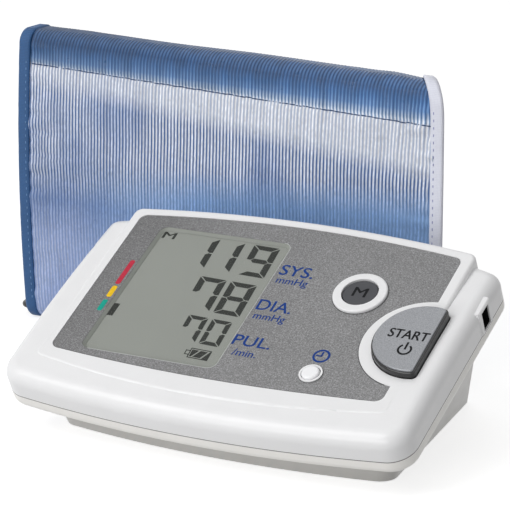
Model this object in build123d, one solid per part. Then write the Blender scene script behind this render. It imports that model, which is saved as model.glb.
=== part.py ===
"""Desktop blood pressure monitor with its arm cuff standing behind it, in millimetres.

Frame: X runs to the right along the monitor's front, Y to the back, Z up. The origin is on the surface that
the monitor stands on, in the middle of its width and of its depth.
"""
from build123d import *
import math
import os

# ---------------------------------------------------------------- monitor: overall form
DEPTH = 110.0                 # foremost point of the rim to rearmost point of the base
HALF_WIDTH = 73.7             # of the tilted tray that carries the panel
FRONT_Y = -DEPTH / 2
REAR_Y = DEPTH / 2
WALL = 2.3                    # of both housings
SEAM_TILT = 25.5              # slope of the joint between the two housings
SEAM_FRONT_Z = 11.0           # height of that joint at the front
TRAY_LENGTH = DEPTH - 12.0    # along the slope
TRAY_FRONT_BOW = 5.2          # how far the front edge bows forward in the middle
TRAY_REAR_BOW = 12.0
TRAY_FRONT_RADIUS = 9.0
TRAY_REAR_RADIUS = 5.0
RIM = 5.5                     # lower housing's share of the tray's edge
SHOULDER = 10.9               # upper housing's share of it, halfway along
SHOULDER_ARCH = 2.1           # how far its arched top falls to both ends
SHOULDER_RADIUS = 5.0
ROOM_RADIUS = 2.0             # of the hollow under it
RIM_RADIUS = 3.0

# ---------------------------------------------------------------- base under the tray
BASE_FRONT_Y = FRONT_Y + 13.6
BASE_REAR_Y = REAR_Y
BASE_FRONT_HALF = HALF_WIDTH - 12.8
BASE_REAR_HALF = HALF_WIDTH - 24.2
BASE_FRONT_BOW = 6.4
BASE_REAR_BOW = 4.0
BASE_FRONT_RADIUS = 6.0
BASE_REAR_RADIUS = 5.0
NECK_FRONT = 10.0             # where the base meets the tray, measured along the slope
NECK_REAR = TRAY_LENGTH - 4.0
NECK_FRONT_HALF = HALF_WIDTH - 7.2
NECK_REAR_HALF = HALF_WIDTH - 7.2
NECK_REAR_BOW = 10.0
NECK_DEPTH = 4.0              # below the seam, inside the rim

# ---------------------------------------------------------------- raised deck with the panel
DECK_TILT = 27.3
DECK_RISE = 13.07             # of the deck's plane over the seam, above the origin
DECK_Z = SEAM_FRONT_Z - FRONT_Y * math.tan(math.radians(SEAM_TILT)) + DECK_RISE
DECK_HALF = HALF_WIDTH - 9.5
DECK_FRONT = FRONT_Y - 3.0
DECK_REAR = REAR_Y - 27.2
DECK_FRONT_BOW = 6.0
DECK_REAR_BOW = 4.4
DECK_CORNER = 3.2
DECK_EDGE_RADIUS = 1.4
DECK_SKIN = 2.4
DECK_SKIRT = 16.0             # how far the raised block reaches down, as far as the seam

PANEL_HALF = DECK_HALF - 3.9
PANEL_FRONT = DECK_FRONT + 7.9
PANEL_REAR = DECK_REAR - 3.6
PANEL_FRONT_BOW = 2.8
PANEL_REAR_BOW = 4.2
PANEL_CORNER = 3.0
PANEL_RECESS = 0.6
PANEL_THICKNESS = 0.4
PANEL_GAP = 0.1               # around the printed panel and the window

# ---------------------------------------------------------------- display
WINDOW_LEFT = 10.3 - PANEL_HALF
WINDOW_RIGHT = 0.2
WINDOW_FRONT = PANEL_FRONT + 4.9
WINDOW_REAR = PANEL_REAR - 8.4
WINDOW_CORNER = 3.0
WINDOW_THICKNESS = 1.0
WINDOW_LEDGE = 0.6            # seat of the window round its opening
GLASS_THICKNESS = 2.2
GLASS_GAP = 0.1               # around the liquid crystal glass and above it
HOLDER_LIP = 1.6              # holder's flange under the deck
ZEBRA_WIDTH = 2.0

# ---------------------------------------------------------------- keys, placed on the deck (across, up)
START_AT = (DECK_HALF - 2.0, -20.7)
START_RADIUS = 15.3
START_FLAT = START_AT[0] + 4.4  # straight right edge of the key
START_CORNER = 1.6            # rounding where the flat meets the round
START_RISE = 2.2              # black body above the deck
START_EDGE = 0.5              # rounding of the body's top
START_FACE_INSET = 0.6
START_FACE_THICKNESS = 0.7
START_RING_RADIUS = 19.6      # white surround that cuts into the panel
MEMORY_AT = (START_AT[0] - 28.8, -2.6)
MEMORY_RING_RADIUS = 9.2
MEMORY_RADIUS = 6.0
MEMORY_RING_RISE = 0.9
MEMORY_RISE = 0.5
SET_AT = (START_AT[0] - 29.4, PANEL_FRONT + 9.7)
SET_RING_RADIUS = 3.9
SET_RADIUS = 3.0
SET_RING_RISE = 0.2
SET_RISE = 0.9
KEY_CLEARANCE = 0.25
KEY_FLANGE = 1.2              # how far the key's flange reaches under the deck
KEY_FLANGE_THICKNESS = 0.9
KEY_FLANGE_GAP = 0.1
KEY_TRAVEL = 1.0

# ---------------------------------------------------------------- circuit board and its screws
BOARD_DEPTH = 8.0             # deck surface to the board's upper face
ROOM_DEPTH = 12.0             # hollow under the deck
BOARD_THICKNESS = 1.6
BOARD_LEFT = 6.2 - DECK_HALF
BOARD_RIGHT = DECK_HALF - 10.2
BOARD_FRONT = DECK_FRONT + 12.5
BOARD_REAR = DECK_REAR - 9.8
WING_RIGHT = DECK_HALF + 3.8             # tongue of the board under the start key
WING_FRONT = START_AT[1] - 17.3
WING_REAR = START_AT[1] + 14.7
POST_RADIUS = 2.4
POSTS = [(BOARD_LEFT + 2.8, BOARD_REAR - 3.5), (BOARD_LEFT + 2.8, -18.0), (8.0, BOARD_FRONT + 4.5),
         (8.0, BOARD_REAR - 4.0), (BOARD_RIGHT - 5.0, BOARD_REAR - 8.0)]
BOARD_SCREW_RADIUS = 1.1
BOARD_SCREW_LENGTH = 5.0
CAPACITOR_RADIUS = 3.2
CAPACITOR_HEIGHT = 6.5
CAPACITOR_PITCH = 8.0
RESISTORS = 5
RESISTOR_PITCH = 5.0
BUZZER_RADIUS = 6.0
BUZZER_HEIGHT = 5.5
BUZZER_HOLE = 1.0
SWITCH_SIZE = 6.0
SWITCH_STEM_RADIUS = 1.7
SWITCH_STEM = 0.6

# ---------------------------------------------------------------- housing screws
SCREW_FRONT = (BASE_FRONT_HALF - 5.0, FRONT_Y + 24.0)
SCREW_REAR = (BASE_REAR_HALF - 5.5, REAR_Y - 31.5)
SCREW_AT = [(side * x, y) for x, y in (SCREW_FRONT, SCREW_REAR) for side in (-1, 1)]
BOSS_RADIUS = 3.4
SCREW_HEAD_RADIUS = 2.6
SCREW_HEAD = 2.0
SCREW_RADIUS = 1.4
SCREW_GAP = 0.1
SCREW_WEB = 2.2               # wall that the screw head seats on, under the seam
SCREW_LENGTH = 9.0

# ---------------------------------------------------------------- batteries
CELL_RADIUS = 7.2
CELL_LENGTH = 49.2
CELL_NUB_RADIUS = 2.7
CELL_NUB = 1.3
CELL_COUNT = 4
CELL_PITCH = 15.2
BAY_CLEARANCE = 0.25
BAY_WALL = 1.6
BAY_FRONT_Y = REAR_Y - 65.5
CONTACT_ROOM = 2.0            # at each end of a cell
CONTACT_THICKNESS = 0.4
CONTACT_SIZE = 9.0
COVER_THICKNESS = 1.6
COVER_SUNK = 0.3              # cover's face above the surface the monitor stands on
COVER_LAP = 2.4               # rebate round the bay that the cover sits in
COVER_GAP = 0.3
COVER_GRIP = 14.0             # finger notch at the latch
LEDGE = 1.6                   # floor left above the rebate
PAD_RADIUS = 4.0
PAD_DEPTH = 0.8
PAD_FRONT = (BASE_FRONT_HALF - 15.9, FRONT_Y + 24.0)
PAD_REAR = (BASE_REAR_HALF - 5.0, REAR_Y - 13.0)
PAD_AT = [(side * x, y) for x, y in (PAD_FRONT, PAD_REAR) for side in (-1, 1)]

# ---------------------------------------------------------------- air system
PUMP_AT = (REAR_Y - 38.0, 31.0)  # axis: Y, Z
MOTOR_RADIUS = 11.0
MOTOR_LENGTH = 31.0
HEAD_SIZE = 22.0
HEAD_LENGTH = 15.0
PUMP_GAP = 1.0                # between the valve and the pump
PORT_RADIUS = 1.5
PORT_LENGTH = 4.0
SEAT = 0.1                    # tube ends from the shoulder they are pushed up to
TUBE_RADIUS = 2.4
TUBE_BORE = 1.55
CUSHION_HEIGHT = 6.0
TUBE_BEND = 3.6               # of each tube's middle line
VALVE_LENGTH = 18.0
VALVE_SIZE = 11.0
VALVE_YOKE = 2.0              # iron frame round the valve's coil, both sides together
VALVE_COIL_RADIUS = 4.0
MANIFOLD_LENGTH = 8.0
MANIFOLD_RADIUS = 3.2
SENSOR_SIZE = 8.0
SENSOR_HEIGHT = 4.0

# ---------------------------------------------------------------- sockets in the side walls
SOCKET_ALONG = TRAY_LENGTH - 28.5  # along the slope from the front
SOCKET_UP = 4.3               # above the seam
JACK_HOLE = (5.2, 7.4)        # along the slope, across it
JACK_FRAME = (8.8, 9.6)       # raised frame round it
JACK_FRAME_RISE = 0.4         # beyond the side wall
JACK_FACE = 3.0               # jack's face in from the side wall
JACK_BODY = (12.0, 8.6, 8.2)  # into the housing, along the slope, across it
JACK_BARREL_RADIUS = 2.8
JACK_PIN_RADIUS = 1.0
JACK_CAVE = 6.0
BOSS_DEPTH = 6.0
SOCKET_BORE = 2.4
SOCKET_BORE_LENGTH = 10.0
SOCKET_BODY_RADIUS = 4.0
SOCKET_BODY_LENGTH = 15.0
SOCKET_POCKET_RADIUS = 5.4
SOCKET_FLOOR_X = 3.3 - HALF_WIDTH
SOCKET_BOSS_RADIUS = 6.6
SOCKET_NIPPLE_IN = 3.0        # nipple's axis in from the body's inner end
MANIFOLD_X = SOCKET_FLOOR_X + 25.4
VALVE_LEFT = MANIFOLD_X + 13.0
MOTOR_LEFT = VALVE_LEFT + VALVE_LENGTH + PUMP_GAP + HEAD_LENGTH

# ---------------------------------------------------------------- arm cuff, closed and pressed flat, standing on edge
CUFF_LEFT = -138.5            # ends of its front face
CUFF_RIGHT = 35.3
CUFF_END_SLANT = 0.5          # right end's shift to the left per mm to the back
CUFF_FRONT_Y = REAR_Y + 2.6
CUFF_THICKNESS = 22.0
CUFF_BULGE = 3.0              # of the front and of the rear face
CUFF_LEFT_HEIGHT = 110.6
CUFF_RIGHT_HEIGHT = 106.4
CUFF_TOP_RADIUS = 7.6
CUFF_BOTTOM_RADIUS = 6.4
SLEEVE = 1.8
BLADDER = 1.4
LINING = 1.2
LAYER_GAP = 0.1
BINDING = 5.2
FLAP = 1.0
FLAP_LOW_Z = 12.0
SEAM_LEFT_Z = 98.9            # sewn edge of the flap, where it meets the two ends
SEAM_RIGHT_Z = 91.7
HOOK = 0.6
HOOK_LEFT = -110.0
HOOK_RIGHT = 6.0
HOOK_LOW_Z = 20.0
HOOK_HIGH_Z = 80.0
RING_WIRE = 1.2
RING_Z = 4.0
RING_OVERHANG = 3.0           # beyond the left end
RING_REACH = 11.0
RING_INSIDE = 12.0            # how far its right end stops short of the right end
RING_BEND = 3.0
RING_CLEARANCE = 0.3
BLADDER_MARGIN = 9.0
CUFF_PORT_AT = (-75.0, 40.0)  # X, Z on the rear face
CUFF_PORT_RADIUS = 2.4
CUFF_PORT_LENGTH = 9.0
CUFF_PORT_DISC = (8.0, 1.6)   # radius, thickness
CUFF_PORT_NECK = (4.0, 12.0)  # radius, reach behind the cuff
CUFF_PORT_COLLAR = (3.4, 4.6) # radius, reach from the neck's axis: the hose butts on it

BIG = 400.0
UP = (Align.CENTER, Align.CENTER, Align.MIN)
DOWN = (Align.CENTER, Align.CENTER, Align.MAX)


def tilted(degrees, y, z):
    """Plane through (0, y, z) that rises to the back at the given slope."""
    slope = math.radians(degrees)
    return Plane(origin=(0, y, z), x_dir=(1, 0, 0), z_dir=(0, -math.sin(slope), math.cos(slope)))


SEAM = tilted(SEAM_TILT, FRONT_Y, SEAM_FRONT_Z)
DECK = tilted(DECK_TILT, 0, DECK_Z)
ABOVE_SEAM = SEAM * Box(BIG, BIG, BIG, align=UP)
BELOW_SEAM = SEAM * Box(BIG, BIG, BIG, align=DOWN)


def bowed_outline(front, rear, front_half, rear_half, front_bow, rear_bow, front_radius, rear_radius):
    """Outline with bowed front and rear edges, straight sides and rounded corners."""
    front_edge = ThreePointArc((-front_half, front + front_bow), (0, front), (front_half, front + front_bow))
    rear_edge = ThreePointArc((rear_half, rear - rear_bow), (0, rear), (-rear_half, rear - rear_bow))
    sides = [Line(front_edge @ 1, rear_edge @ 0), Line(rear_edge @ 1, front_edge @ 0)]
    face = make_face([front_edge, sides[0], rear_edge, sides[1]])
    middle = (front + rear) / 2
    face = fillet(face.vertices().filter_by(lambda v: v.Y < middle), front_radius)
    rear_corners = face.vertices().filter_by(lambda v: v.Y > middle and abs(v.X) > rear_half - 0.01)
    return fillet(rear_corners, rear_radius)


def tray_outline(inset=0.0):
    return bowed_outline(inset, TRAY_LENGTH - inset, HALF_WIDTH - inset, HALF_WIDTH - inset,
                         TRAY_FRONT_BOW, TRAY_REAR_BOW, TRAY_FRONT_RADIUS - inset, TRAY_REAR_RADIUS - inset)


def deck_outline(inset=0.0):
    return bowed_outline(DECK_FRONT + inset, DECK_REAR - inset, DECK_HALF - inset, DECK_HALF - inset,
                         DECK_FRONT_BOW, DECK_REAR_BOW, DECK_CORNER - inset * 0.5, DECK_CORNER - inset * 0.5)


def base_outline(inset=0.0):
    return bowed_outline(BASE_FRONT_Y + inset, BASE_REAR_Y - inset, BASE_FRONT_HALF - inset,
                         BASE_REAR_HALF - inset, BASE_FRONT_BOW, BASE_REAR_BOW,
                         BASE_FRONT_RADIUS - inset * 0.5, BASE_REAR_RADIUS - inset * 0.5)


def neck_outline(inset=0.0):
    return bowed_outline(NECK_FRONT + inset, NECK_REAR - inset, NECK_FRONT_HALF - inset,
                         NECK_REAR_HALF - inset, TRAY_FRONT_BOW, NECK_REAR_BOW,
                         TRAY_FRONT_RADIUS - inset, TRAY_REAR_RADIUS - inset * 0.5)


def top_edges(solid, plane, last=True):
    """Edges round the solid's outermost face along the plane's normal."""
    faces = solid.faces().sort_by(Axis(plane.origin, plane.z_dir))
    return (faces[-1] if last else faces[0]).edges()


def on_deck(sketch, high, low):
    """Prism that stands square to the deck, from one height to another."""
    return extrude(DECK.offset(low) * sketch, high - low)


def under_arch(drop):
    """Everything under the shoulder's arched top, drawn down by a distance."""
    end = SHOULDER - SHOULDER_ARCH - drop
    arch = ThreePointArc((-WALL, end), (TRAY_LENGTH / 2, SHOULDER - drop), (TRAY_LENGTH + WALL, end))
    foot = Polyline(arch @ 1, (TRAY_LENGTH + WALL, -2 * RIM), (-WALL, -2 * RIM), arch @ 0)
    side = Plane(origin=SEAM.origin, x_dir=SEAM.y_dir, z_dir=(1, 0, 0))
    return extrude(side * make_face([arch, foot]), HALF_WIDTH + WALL, both=True)


def tray():
    block = extrude(SEAM.offset(-RIM) * tray_outline(), RIM + SHOULDER + WALL) & under_arch(0)
    block = fillet(top_edges(block, SEAM), SHOULDER_RADIUS)
    return fillet(top_edges(block, SEAM, last=False), RIM_RADIUS)


def tray_inside(inset):
    """Upper part of the tray's form, drawn in by the same amount at the sides and on top."""
    block = extrude(SEAM.offset(-WALL) * tray_outline(inset), SHOULDER + 2 * WALL) & under_arch(inset)
    return fillet(top_edges(block, SEAM), ROOM_RADIUS)


# ---------------------------------------------------------------- outlines on the deck
def start_outline(grow=0.0):
    """Round key with its right side cut straight."""
    disc = Pos(*START_AT) * Circle(START_RADIUS + grow)
    keep = Pos(START_FLAT + grow - BIG / 2, START_AT[1]) * Rectangle(BIG, BIG)
    key = disc & keep
    return fillet(key.vertices(), max(START_CORNER + grow, START_CORNER / 3))


def start_surround(grow=0.0):
    return Pos(*START_AT) * Circle(START_RING_RADIUS + grow)


def window_outline(grow=0.0):
    width = WINDOW_RIGHT - WINDOW_LEFT + 2 * grow
    height = WINDOW_REAR - WINDOW_FRONT + 2 * grow
    middle = ((WINDOW_LEFT + WINDOW_RIGHT) / 2, (WINDOW_FRONT + WINDOW_REAR) / 2)
    return Pos(*middle) * RectangleRounded(width, height, max(WINDOW_CORNER + grow, 0.8))


def panel_outline(inset=0.0):
    face = bowed_outline(PANEL_FRONT + inset, PANEL_REAR - inset, PANEL_HALF - inset, PANEL_HALF - inset,
                         PANEL_FRONT_BOW, PANEL_REAR_BOW, PANEL_CORNER, PANEL_CORNER)
    face = face - start_surround(inset)
    return face - Pos(*MEMORY_AT) * Circle(MEMORY_RING_RADIUS + inset) - Pos(*SET_AT) * Circle(
        SET_RING_RADIUS + inset)


WINDOW_MIDDLE = ((WINDOW_LEFT + WINDOW_RIGHT) / 2, (WINDOW_FRONT + WINDOW_REAR) / 2)
GLASS_INSET = WINDOW_LEDGE + GLASS_GAP
GLASS_WIDTH = WINDOW_RIGHT - WINDOW_LEFT - 2 * GLASS_INSET
GLASS_HEIGHT = WINDOW_REAR - WINDOW_FRONT - 2 * GLASS_INSET
CEILING = -DECK_SKIN          # underside of the deck's skin
PANEL_TOP = PANEL_THICKNESS - PANEL_RECESS
GLASS_TOP = PANEL_TOP - WINDOW_THICKNESS - GLASS_GAP
GLASS_BOTTOM = GLASS_TOP - GLASS_THICKNESS
KEY_FOOT = CEILING - KEY_FLANGE_GAP - KEY_FLANGE_THICKNESS


# ---------------------------------------------------------------- upper housing
def socket_centre():
    """Height and depth that the two side sockets share."""
    return SEAM.from_local_coords(Vector(0, SOCKET_ALONG, SOCKET_UP))


def jack_prism(size, x_low, x_high):
    at = socket_centre()
    turned = Plane(origin=(x_low, at.Y, at.Z), x_dir=SEAM.y_dir, z_dir=(1, 0, 0))
    return extrude(turned * Rectangle(*size), x_high - x_low)


def upper_room(inset):
    """Hollow of the upper housing, drawn in by the inset."""
    under_deck = extrude(DECK.offset(CEILING - inset) * deck_outline(WALL + inset), -ROOM_DEPTH)
    return tray_inside(WALL + inset) + under_deck


def upper_housing():
    shell = (tray() & ABOVE_SEAM)
    deck = extrude(DECK * deck_outline(), -DECK_SKIRT)
    deck = fillet(top_edges(deck, DECK), DECK_EDGE_RADIUS)
    shell = shell + (deck & ABOVE_SEAM)
    shell = shell - upper_room(0)
    core = tray_inside(WALL / 2)
    # bosses that take the housing screws and the board's screws
    for x, y in SCREW_AT:
        boss = Pos(x, y, 0) * Cylinder(BOSS_RADIUS, BIG, align=UP)
        shell = shell + (boss & ABOVE_SEAM & core)
        seam_z = SEAM_FRONT_Z + (y - FRONT_Y) * math.tan(math.radians(SEAM_TILT))
        pilot = Pos(x, y, seam_z - 3) * Cylinder(SCREW_RADIUS + SCREW_GAP, SCREW_LENGTH - SCREW_WEB + 4, align=UP)
        shell = shell - pilot
    for at in POSTS:
        shell = shell + on_deck(Pos(*at) * Circle(POST_RADIUS), CEILING + 0.4, -BOARD_DEPTH)
        shell = shell - on_deck(Pos(*at) * Circle(BOARD_SCREW_RADIUS + SCREW_GAP), CEILING, -BOARD_DEPTH)
    # seats for the power jack on the right and the air socket on the left
    at = socket_centre()
    jack_face = HALF_WIDTH - JACK_FACE
    jack_boss = jack_prism((JACK_BODY[1] + 4, JACK_BODY[2] + 2), jack_face - BOSS_DEPTH / 2, HALF_WIDTH)
    socket_boss = along_x(SOCKET_BOSS_RADIUS, -HALF_WIDTH, SOCKET_FLOOR_X + BOSS_DEPTH, at.Y, at.Z)
    shell = shell + ((jack_boss + socket_boss) & ABOVE_SEAM & core)
    frame = jack_prism(JACK_FRAME, jack_face, HALF_WIDTH + JACK_FRAME_RISE)
    frame = chamfer(frame.faces().sort_by(Axis.X)[-1].edges(), JACK_FRAME_RISE)
    shell = shell + (frame & ABOVE_SEAM)
    shell = shell - jack_prism(JACK_HOLE, jack_face - BOSS_DEPTH, HALF_WIDTH + WALL)
    pocket = (JACK_BODY[1] + 2 * SEAT, JACK_BODY[2] + 2 * SEAT)
    shell = shell - jack_prism(pocket, jack_face - JACK_BODY[0] - WALL, jack_face + SEAT)
    shell = shell - along_x(SOCKET_POCKET_RADIUS, -HALF_WIDTH - 1, SOCKET_FLOOR_X, at.Y, at.Z)
    shell = shell - along_x(SOCKET_BODY_RADIUS + 0.1, SOCKET_FLOOR_X - 1, 0, at.Y, at.Z)
    # recess for the panel, seat for the window, and the way through for display and keys
    shell = shell - on_deck(panel_outline(), 1.0, -PANEL_RECESS)
    ring = on_deck(Pos(*MEMORY_AT) * Circle(MEMORY_RING_RADIUS), MEMORY_RING_RISE, CEILING)
    shell = shell + fillet(top_edges(ring, DECK), MEMORY_RING_RISE * 0.7)
    ring = on_deck(Pos(*SET_AT) * Circle(SET_RING_RADIUS), SET_RING_RISE, CEILING)
    shell = shell + ring
    shell = shell - on_deck(window_outline(PANEL_GAP), 1.0, PANEL_TOP - WINDOW_THICKNESS)
    shell = shell - on_deck(window_outline(-WINDOW_LEDGE), 1.0, CEILING - 1)
    shell = shell - on_deck(Pos(*MEMORY_AT) * Circle(MEMORY_RADIUS + KEY_CLEARANCE), 4.0, CEILING - 1)
    shell = shell - on_deck(Pos(*SET_AT) * Circle(SET_RADIUS + KEY_CLEARANCE), 4.0, CEILING - 1)
    shell = shell - on_deck(start_outline(KEY_CLEARANCE), 4.0, KEY_FOOT - KEY_TRAVEL - KEY_CLEARANCE)
    return shell


# ---------------------------------------------------------------- lower housing and battery cover
BAY_HALF = CELL_PITCH * CELL_COUNT / 2
BAY_LENGTH = CELL_LENGTH + CELL_NUB + 2 * CONTACT_ROOM
BAY_REAR_Y = BAY_FRONT_Y + BAY_LENGTH
BAY_MIDDLE_Y = (BAY_FRONT_Y + BAY_REAR_Y) / 2
FLOOR = COVER_SUNK + COVER_THICKNESS
CELL_Z = FLOOR + BAY_CLEARANCE + CELL_RADIUS
BAY_TOP = CELL_Z + CELL_RADIUS + BAY_CLEARANCE + BAY_WALL


def cell_x(index):
    return (index - (CELL_COUNT - 1) / 2) * CELL_PITCH


def along_y(radius, y_low, y_high, x, z):
    return Pos(x, y_low, z) * Rot(-90, 0, 0) * Cylinder(radius, y_high - y_low, align=UP)


def cover_outline(gap=0.0):
    width = 2 * (BAY_HALF + COVER_LAP - gap)
    length = BAY_LENGTH + 2 * (COVER_LAP - gap)
    return Pos(0, BAY_MIDDLE_Y) * RectangleRounded(width, length, 3.0 - gap)


def lower_housing():
    base = loft([base_outline(), SEAM.offset(-NECK_DEPTH) * neck_outline()], ruled=True)
    shell = (tray() & BELOW_SEAM) + base
    rim_room = extrude(SEAM.offset(WALL - RIM) * tray_outline(WALL), RIM)
    neck_room = loft([Plane.XY.offset(WALL) * base_outline(WALL),
                      SEAM.offset(WALL - RIM + 0.1) * neck_outline(WALL)], ruled=True)
    inside = rim_room + neck_room
    bay = Pos(0, BAY_MIDDLE_Y, 0) * Box(2 * (BAY_HALF + BAY_WALL), BAY_LENGTH + 2 * BAY_WALL, BAY_TOP, align=UP)
    frame = Pos(0, BAY_MIDDLE_Y, 0) * Box(2 * (BAY_HALF + COVER_LAP + 2), BAY_LENGTH + 2 * COVER_LAP + 4,
                                          FLOOR + LEDGE, align=UP)
    outer = shell
    shell = shell - inside + ((bay + frame) & outer)
    room = Pos(0, BAY_MIDDLE_Y, 0) * Box(2 * BAY_HALF, BAY_LENGTH, CELL_Z, align=UP)
    for i in range(CELL_COUNT):
        room = room + along_y(CELL_RADIUS + BAY_CLEARANCE, BAY_FRONT_Y, BAY_REAR_Y, cell_x(i), CELL_Z)
    shell = shell - room - extrude(cover_outline(), FLOOR)
    for x, y in SCREW_AT:
        boss = Pos(x, y, 0) * Cylinder(BOSS_RADIUS, BIG, align=UP)
        shell = shell + (boss & BELOW_SEAM & outer)
        web_z = screw_seat(y)
        shell = shell - Pos(x, y, -1) * Cylinder(SCREW_HEAD_RADIUS + SCREW_GAP * 2, web_z + 1, align=UP)
        shell = shell - Pos(x, y, web_z - 1) * Cylinder(SCREW_RADIUS + SCREW_GAP, BIG, align=UP)
    for x, y in PAD_AT:
        shell = shell - Pos(x, y, 0) * Cylinder(PAD_RADIUS + 0.1, PAD_DEPTH, align=UP)
    return shell


def screw_seat(y):
    """Height of the face that the screw's head bears on."""
    seam_z = SEAM_FRONT_Z + (y - FRONT_Y) * math.tan(math.radians(SEAM_TILT))
    return seam_z - BOSS_RADIUS * math.tan(math.radians(SEAM_TILT)) - SCREW_WEB


def battery_cover():
    lid = extrude(Plane.XY.offset(COVER_SUNK) * cover_outline(COVER_GAP), COVER_THICKNESS)
    grip = Pos(0, BAY_REAR_Y + COVER_LAP - COVER_GAP - 4.5, COVER_SUNK) * Box(COVER_GRIP, 3.0, 0.8, align=UP)
    lid = lid - grip
    for i in range(3):
        rib = Pos(0, BAY_REAR_Y - 8 - 3 * i, COVER_SUNK) * Box(COVER_GRIP, 1.0, 0.4, align=UP)
        lid = lid - rib
    return lid


def rubber_pads():
    return [Pos(x, y, 0) * Cylinder(PAD_RADIUS, PAD_DEPTH, align=UP) for x, y in PAD_AT]


def housing_screws():
    screws = []
    for x, y in SCREW_AT:
        seat = screw_seat(y)
        head = Pos(x, y, seat - SCREW_HEAD) * Cylinder(SCREW_HEAD_RADIUS, SCREW_HEAD, align=UP)
        slot = Pos(x, y, seat - SCREW_HEAD) * (Box(3.6, 0.8, 1.0, align=UP) + Box(0.8, 3.6, 1.0, align=UP))
        screws.append(head - slot + Pos(x, y, seat) * Cylinder(SCREW_RADIUS, SCREW_LENGTH, align=UP))
    return screws


# ---------------------------------------------------------------- panel, window and display
def panel_overlay():
    sheet = panel_outline(PANEL_GAP) - window_outline(PANEL_GAP)
    return on_deck(sheet, PANEL_TOP, -PANEL_RECESS)


def lcd_window():
    lens = on_deck(window_outline(), PANEL_TOP, PANEL_TOP - WINDOW_THICKNESS)
    return chamfer(top_edges(lens, DECK), 0.25)


def glass_rectangle(grow=0.0):
    return Pos(*WINDOW_MIDDLE) * Rectangle(GLASS_WIDTH + 2 * grow, GLASS_HEIGHT + 2 * grow)


def lcd_module():
    return on_deck(window_outline(-GLASS_INSET), GLASS_TOP, GLASS_BOTTOM)


def lcd_holder():
    """Frame that stands on the board, presses on the deck from below and carries the glass."""
    frame = on_deck(glass_rectangle(HOLDER_LIP), CEILING - GLASS_GAP, -BOARD_DEPTH)
    frame = frame - on_deck(glass_rectangle(GLASS_GAP), 0, GLASS_BOTTOM)
    well = on_deck(glass_rectangle(-ZEBRA_WIDTH - 2.0), 0, 1.2 - BOARD_DEPTH)
    frame = frame - well
    for side in (-1, 1):
        v = WINDOW_MIDDLE[1] + side * (GLASS_HEIGHT / 2 - ZEBRA_WIDTH / 2 - 0.6)
        slot = Pos(WINDOW_MIDDLE[0], v) * Rectangle(GLASS_WIDTH - 3.6, ZEBRA_WIDTH + 0.2)
        frame = frame - on_deck(slot, 0, -BOARD_DEPTH)
    return frame


def zebra_strips():
    strips = []
    for side in (-1, 1):
        v = WINDOW_MIDDLE[1] + side * (GLASS_HEIGHT / 2 - ZEBRA_WIDTH / 2 - 0.6)
        strip = Pos(WINDOW_MIDDLE[0], v) * Rectangle(GLASS_WIDTH - 4.0, ZEBRA_WIDTH)
        strips.append(on_deck(strip, GLASS_BOTTOM, -BOARD_DEPTH))
    return strips


# ---------------------------------------------------------------- keys
def start_button():
    cap = on_deck(start_outline(), START_RISE, KEY_FOOT)
    flange = on_deck(start_outline(KEY_FLANGE), CEILING - KEY_FLANGE_GAP, KEY_FOOT)
    for x, y in SCREW_AT:
        flange = flange - Pos(x, y, 0) * Cylinder(BOSS_RADIUS + 2 * KEY_CLEARANCE, BIG)
    key = fillet(top_edges(cap, DECK), START_EDGE) + (flange & upper_room(KEY_FLANGE_GAP))
    hollow = on_deck(start_outline(-1.6), START_RISE - 2.2, KEY_FOOT)
    ribs = on_deck(Pos(START_AT[0] - 2, START_AT[1]) * (Rectangle(1.2, BIG) + Rectangle(BIG, 1.2)), 0, KEY_FOOT)
    plunger = on_deck(Pos(START_AT[0] - 2, START_AT[1]) * Circle(3.0), 0, KEY_FOOT)
    return key - (hollow - ribs - plunger)


def start_button_face():
    face = on_deck(start_outline(-START_FACE_INSET), START_RISE + START_FACE_THICKNESS, START_RISE)
    return fillet(top_edges(face, DECK), 0.35)


def round_key(at, radius, rise, dome):
    """Domed key with a retaining flange under the deck."""
    key = on_deck(Pos(*at) * Circle(radius), rise, KEY_FOOT)
    key = fillet(top_edges(key, DECK), dome)
    flange = on_deck(Pos(*at) * Circle(radius + KEY_FLANGE), CEILING - KEY_FLANGE_GAP, KEY_FOOT)
    return key + flange


def key_switches():
    switches = []
    for at in ((START_AT[0] - 2, START_AT[1]), MEMORY_AT, SET_AT):
        stem_top = KEY_FOOT - KEY_TRAVEL - 0.1
        body = on_deck(Pos(*at) * Rectangle(SWITCH_SIZE, SWITCH_SIZE), stem_top - SWITCH_STEM, -BOARD_DEPTH)
        stem = on_deck(Pos(*at) * Circle(SWITCH_STEM_RADIUS), stem_top, stem_top - SWITCH_STEM)
        switches.append(body + stem)
    return switches


# ---------------------------------------------------------------- circuit board
def main_board():
    width = BOARD_RIGHT - BOARD_LEFT
    height = BOARD_REAR - BOARD_FRONT
    sheet = Pos((BOARD_LEFT + BOARD_RIGHT) / 2, (BOARD_FRONT + BOARD_REAR) / 2) * Rectangle(width, height)
    wing = Pos((BOARD_RIGHT + WING_RIGHT) / 2, (WING_FRONT + WING_REAR) / 2) * Rectangle(
        WING_RIGHT - BOARD_RIGHT, WING_REAR - WING_FRONT)
    board = on_deck(sheet + wing, -BOARD_DEPTH, -BOARD_DEPTH - BOARD_THICKNESS)
    for x, y in SCREW_AT:
        board = board - Pos(x, y, 0) * Cylinder(BOSS_RADIUS + 0.8, BIG, align=UP)
    for at in POSTS:
        board = board - on_deck(Pos(*at) * Circle(BOARD_SCREW_RADIUS + SCREW_GAP), 0, -BOARD_DEPTH - 4)
    at = socket_centre()
    reach = SOCKET_FLOOR_X + SOCKET_BODY_LENGTH + 1
    return board - Pos(reach, at.Y, at.Z) * Box(BIG, 2 * SOCKET_BODY_RADIUS + 3, BIG,
                                                align=(Align.MAX, Align.CENTER, Align.CENTER))


BOARD_UNDER = -BOARD_DEPTH - BOARD_THICKNESS


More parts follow.
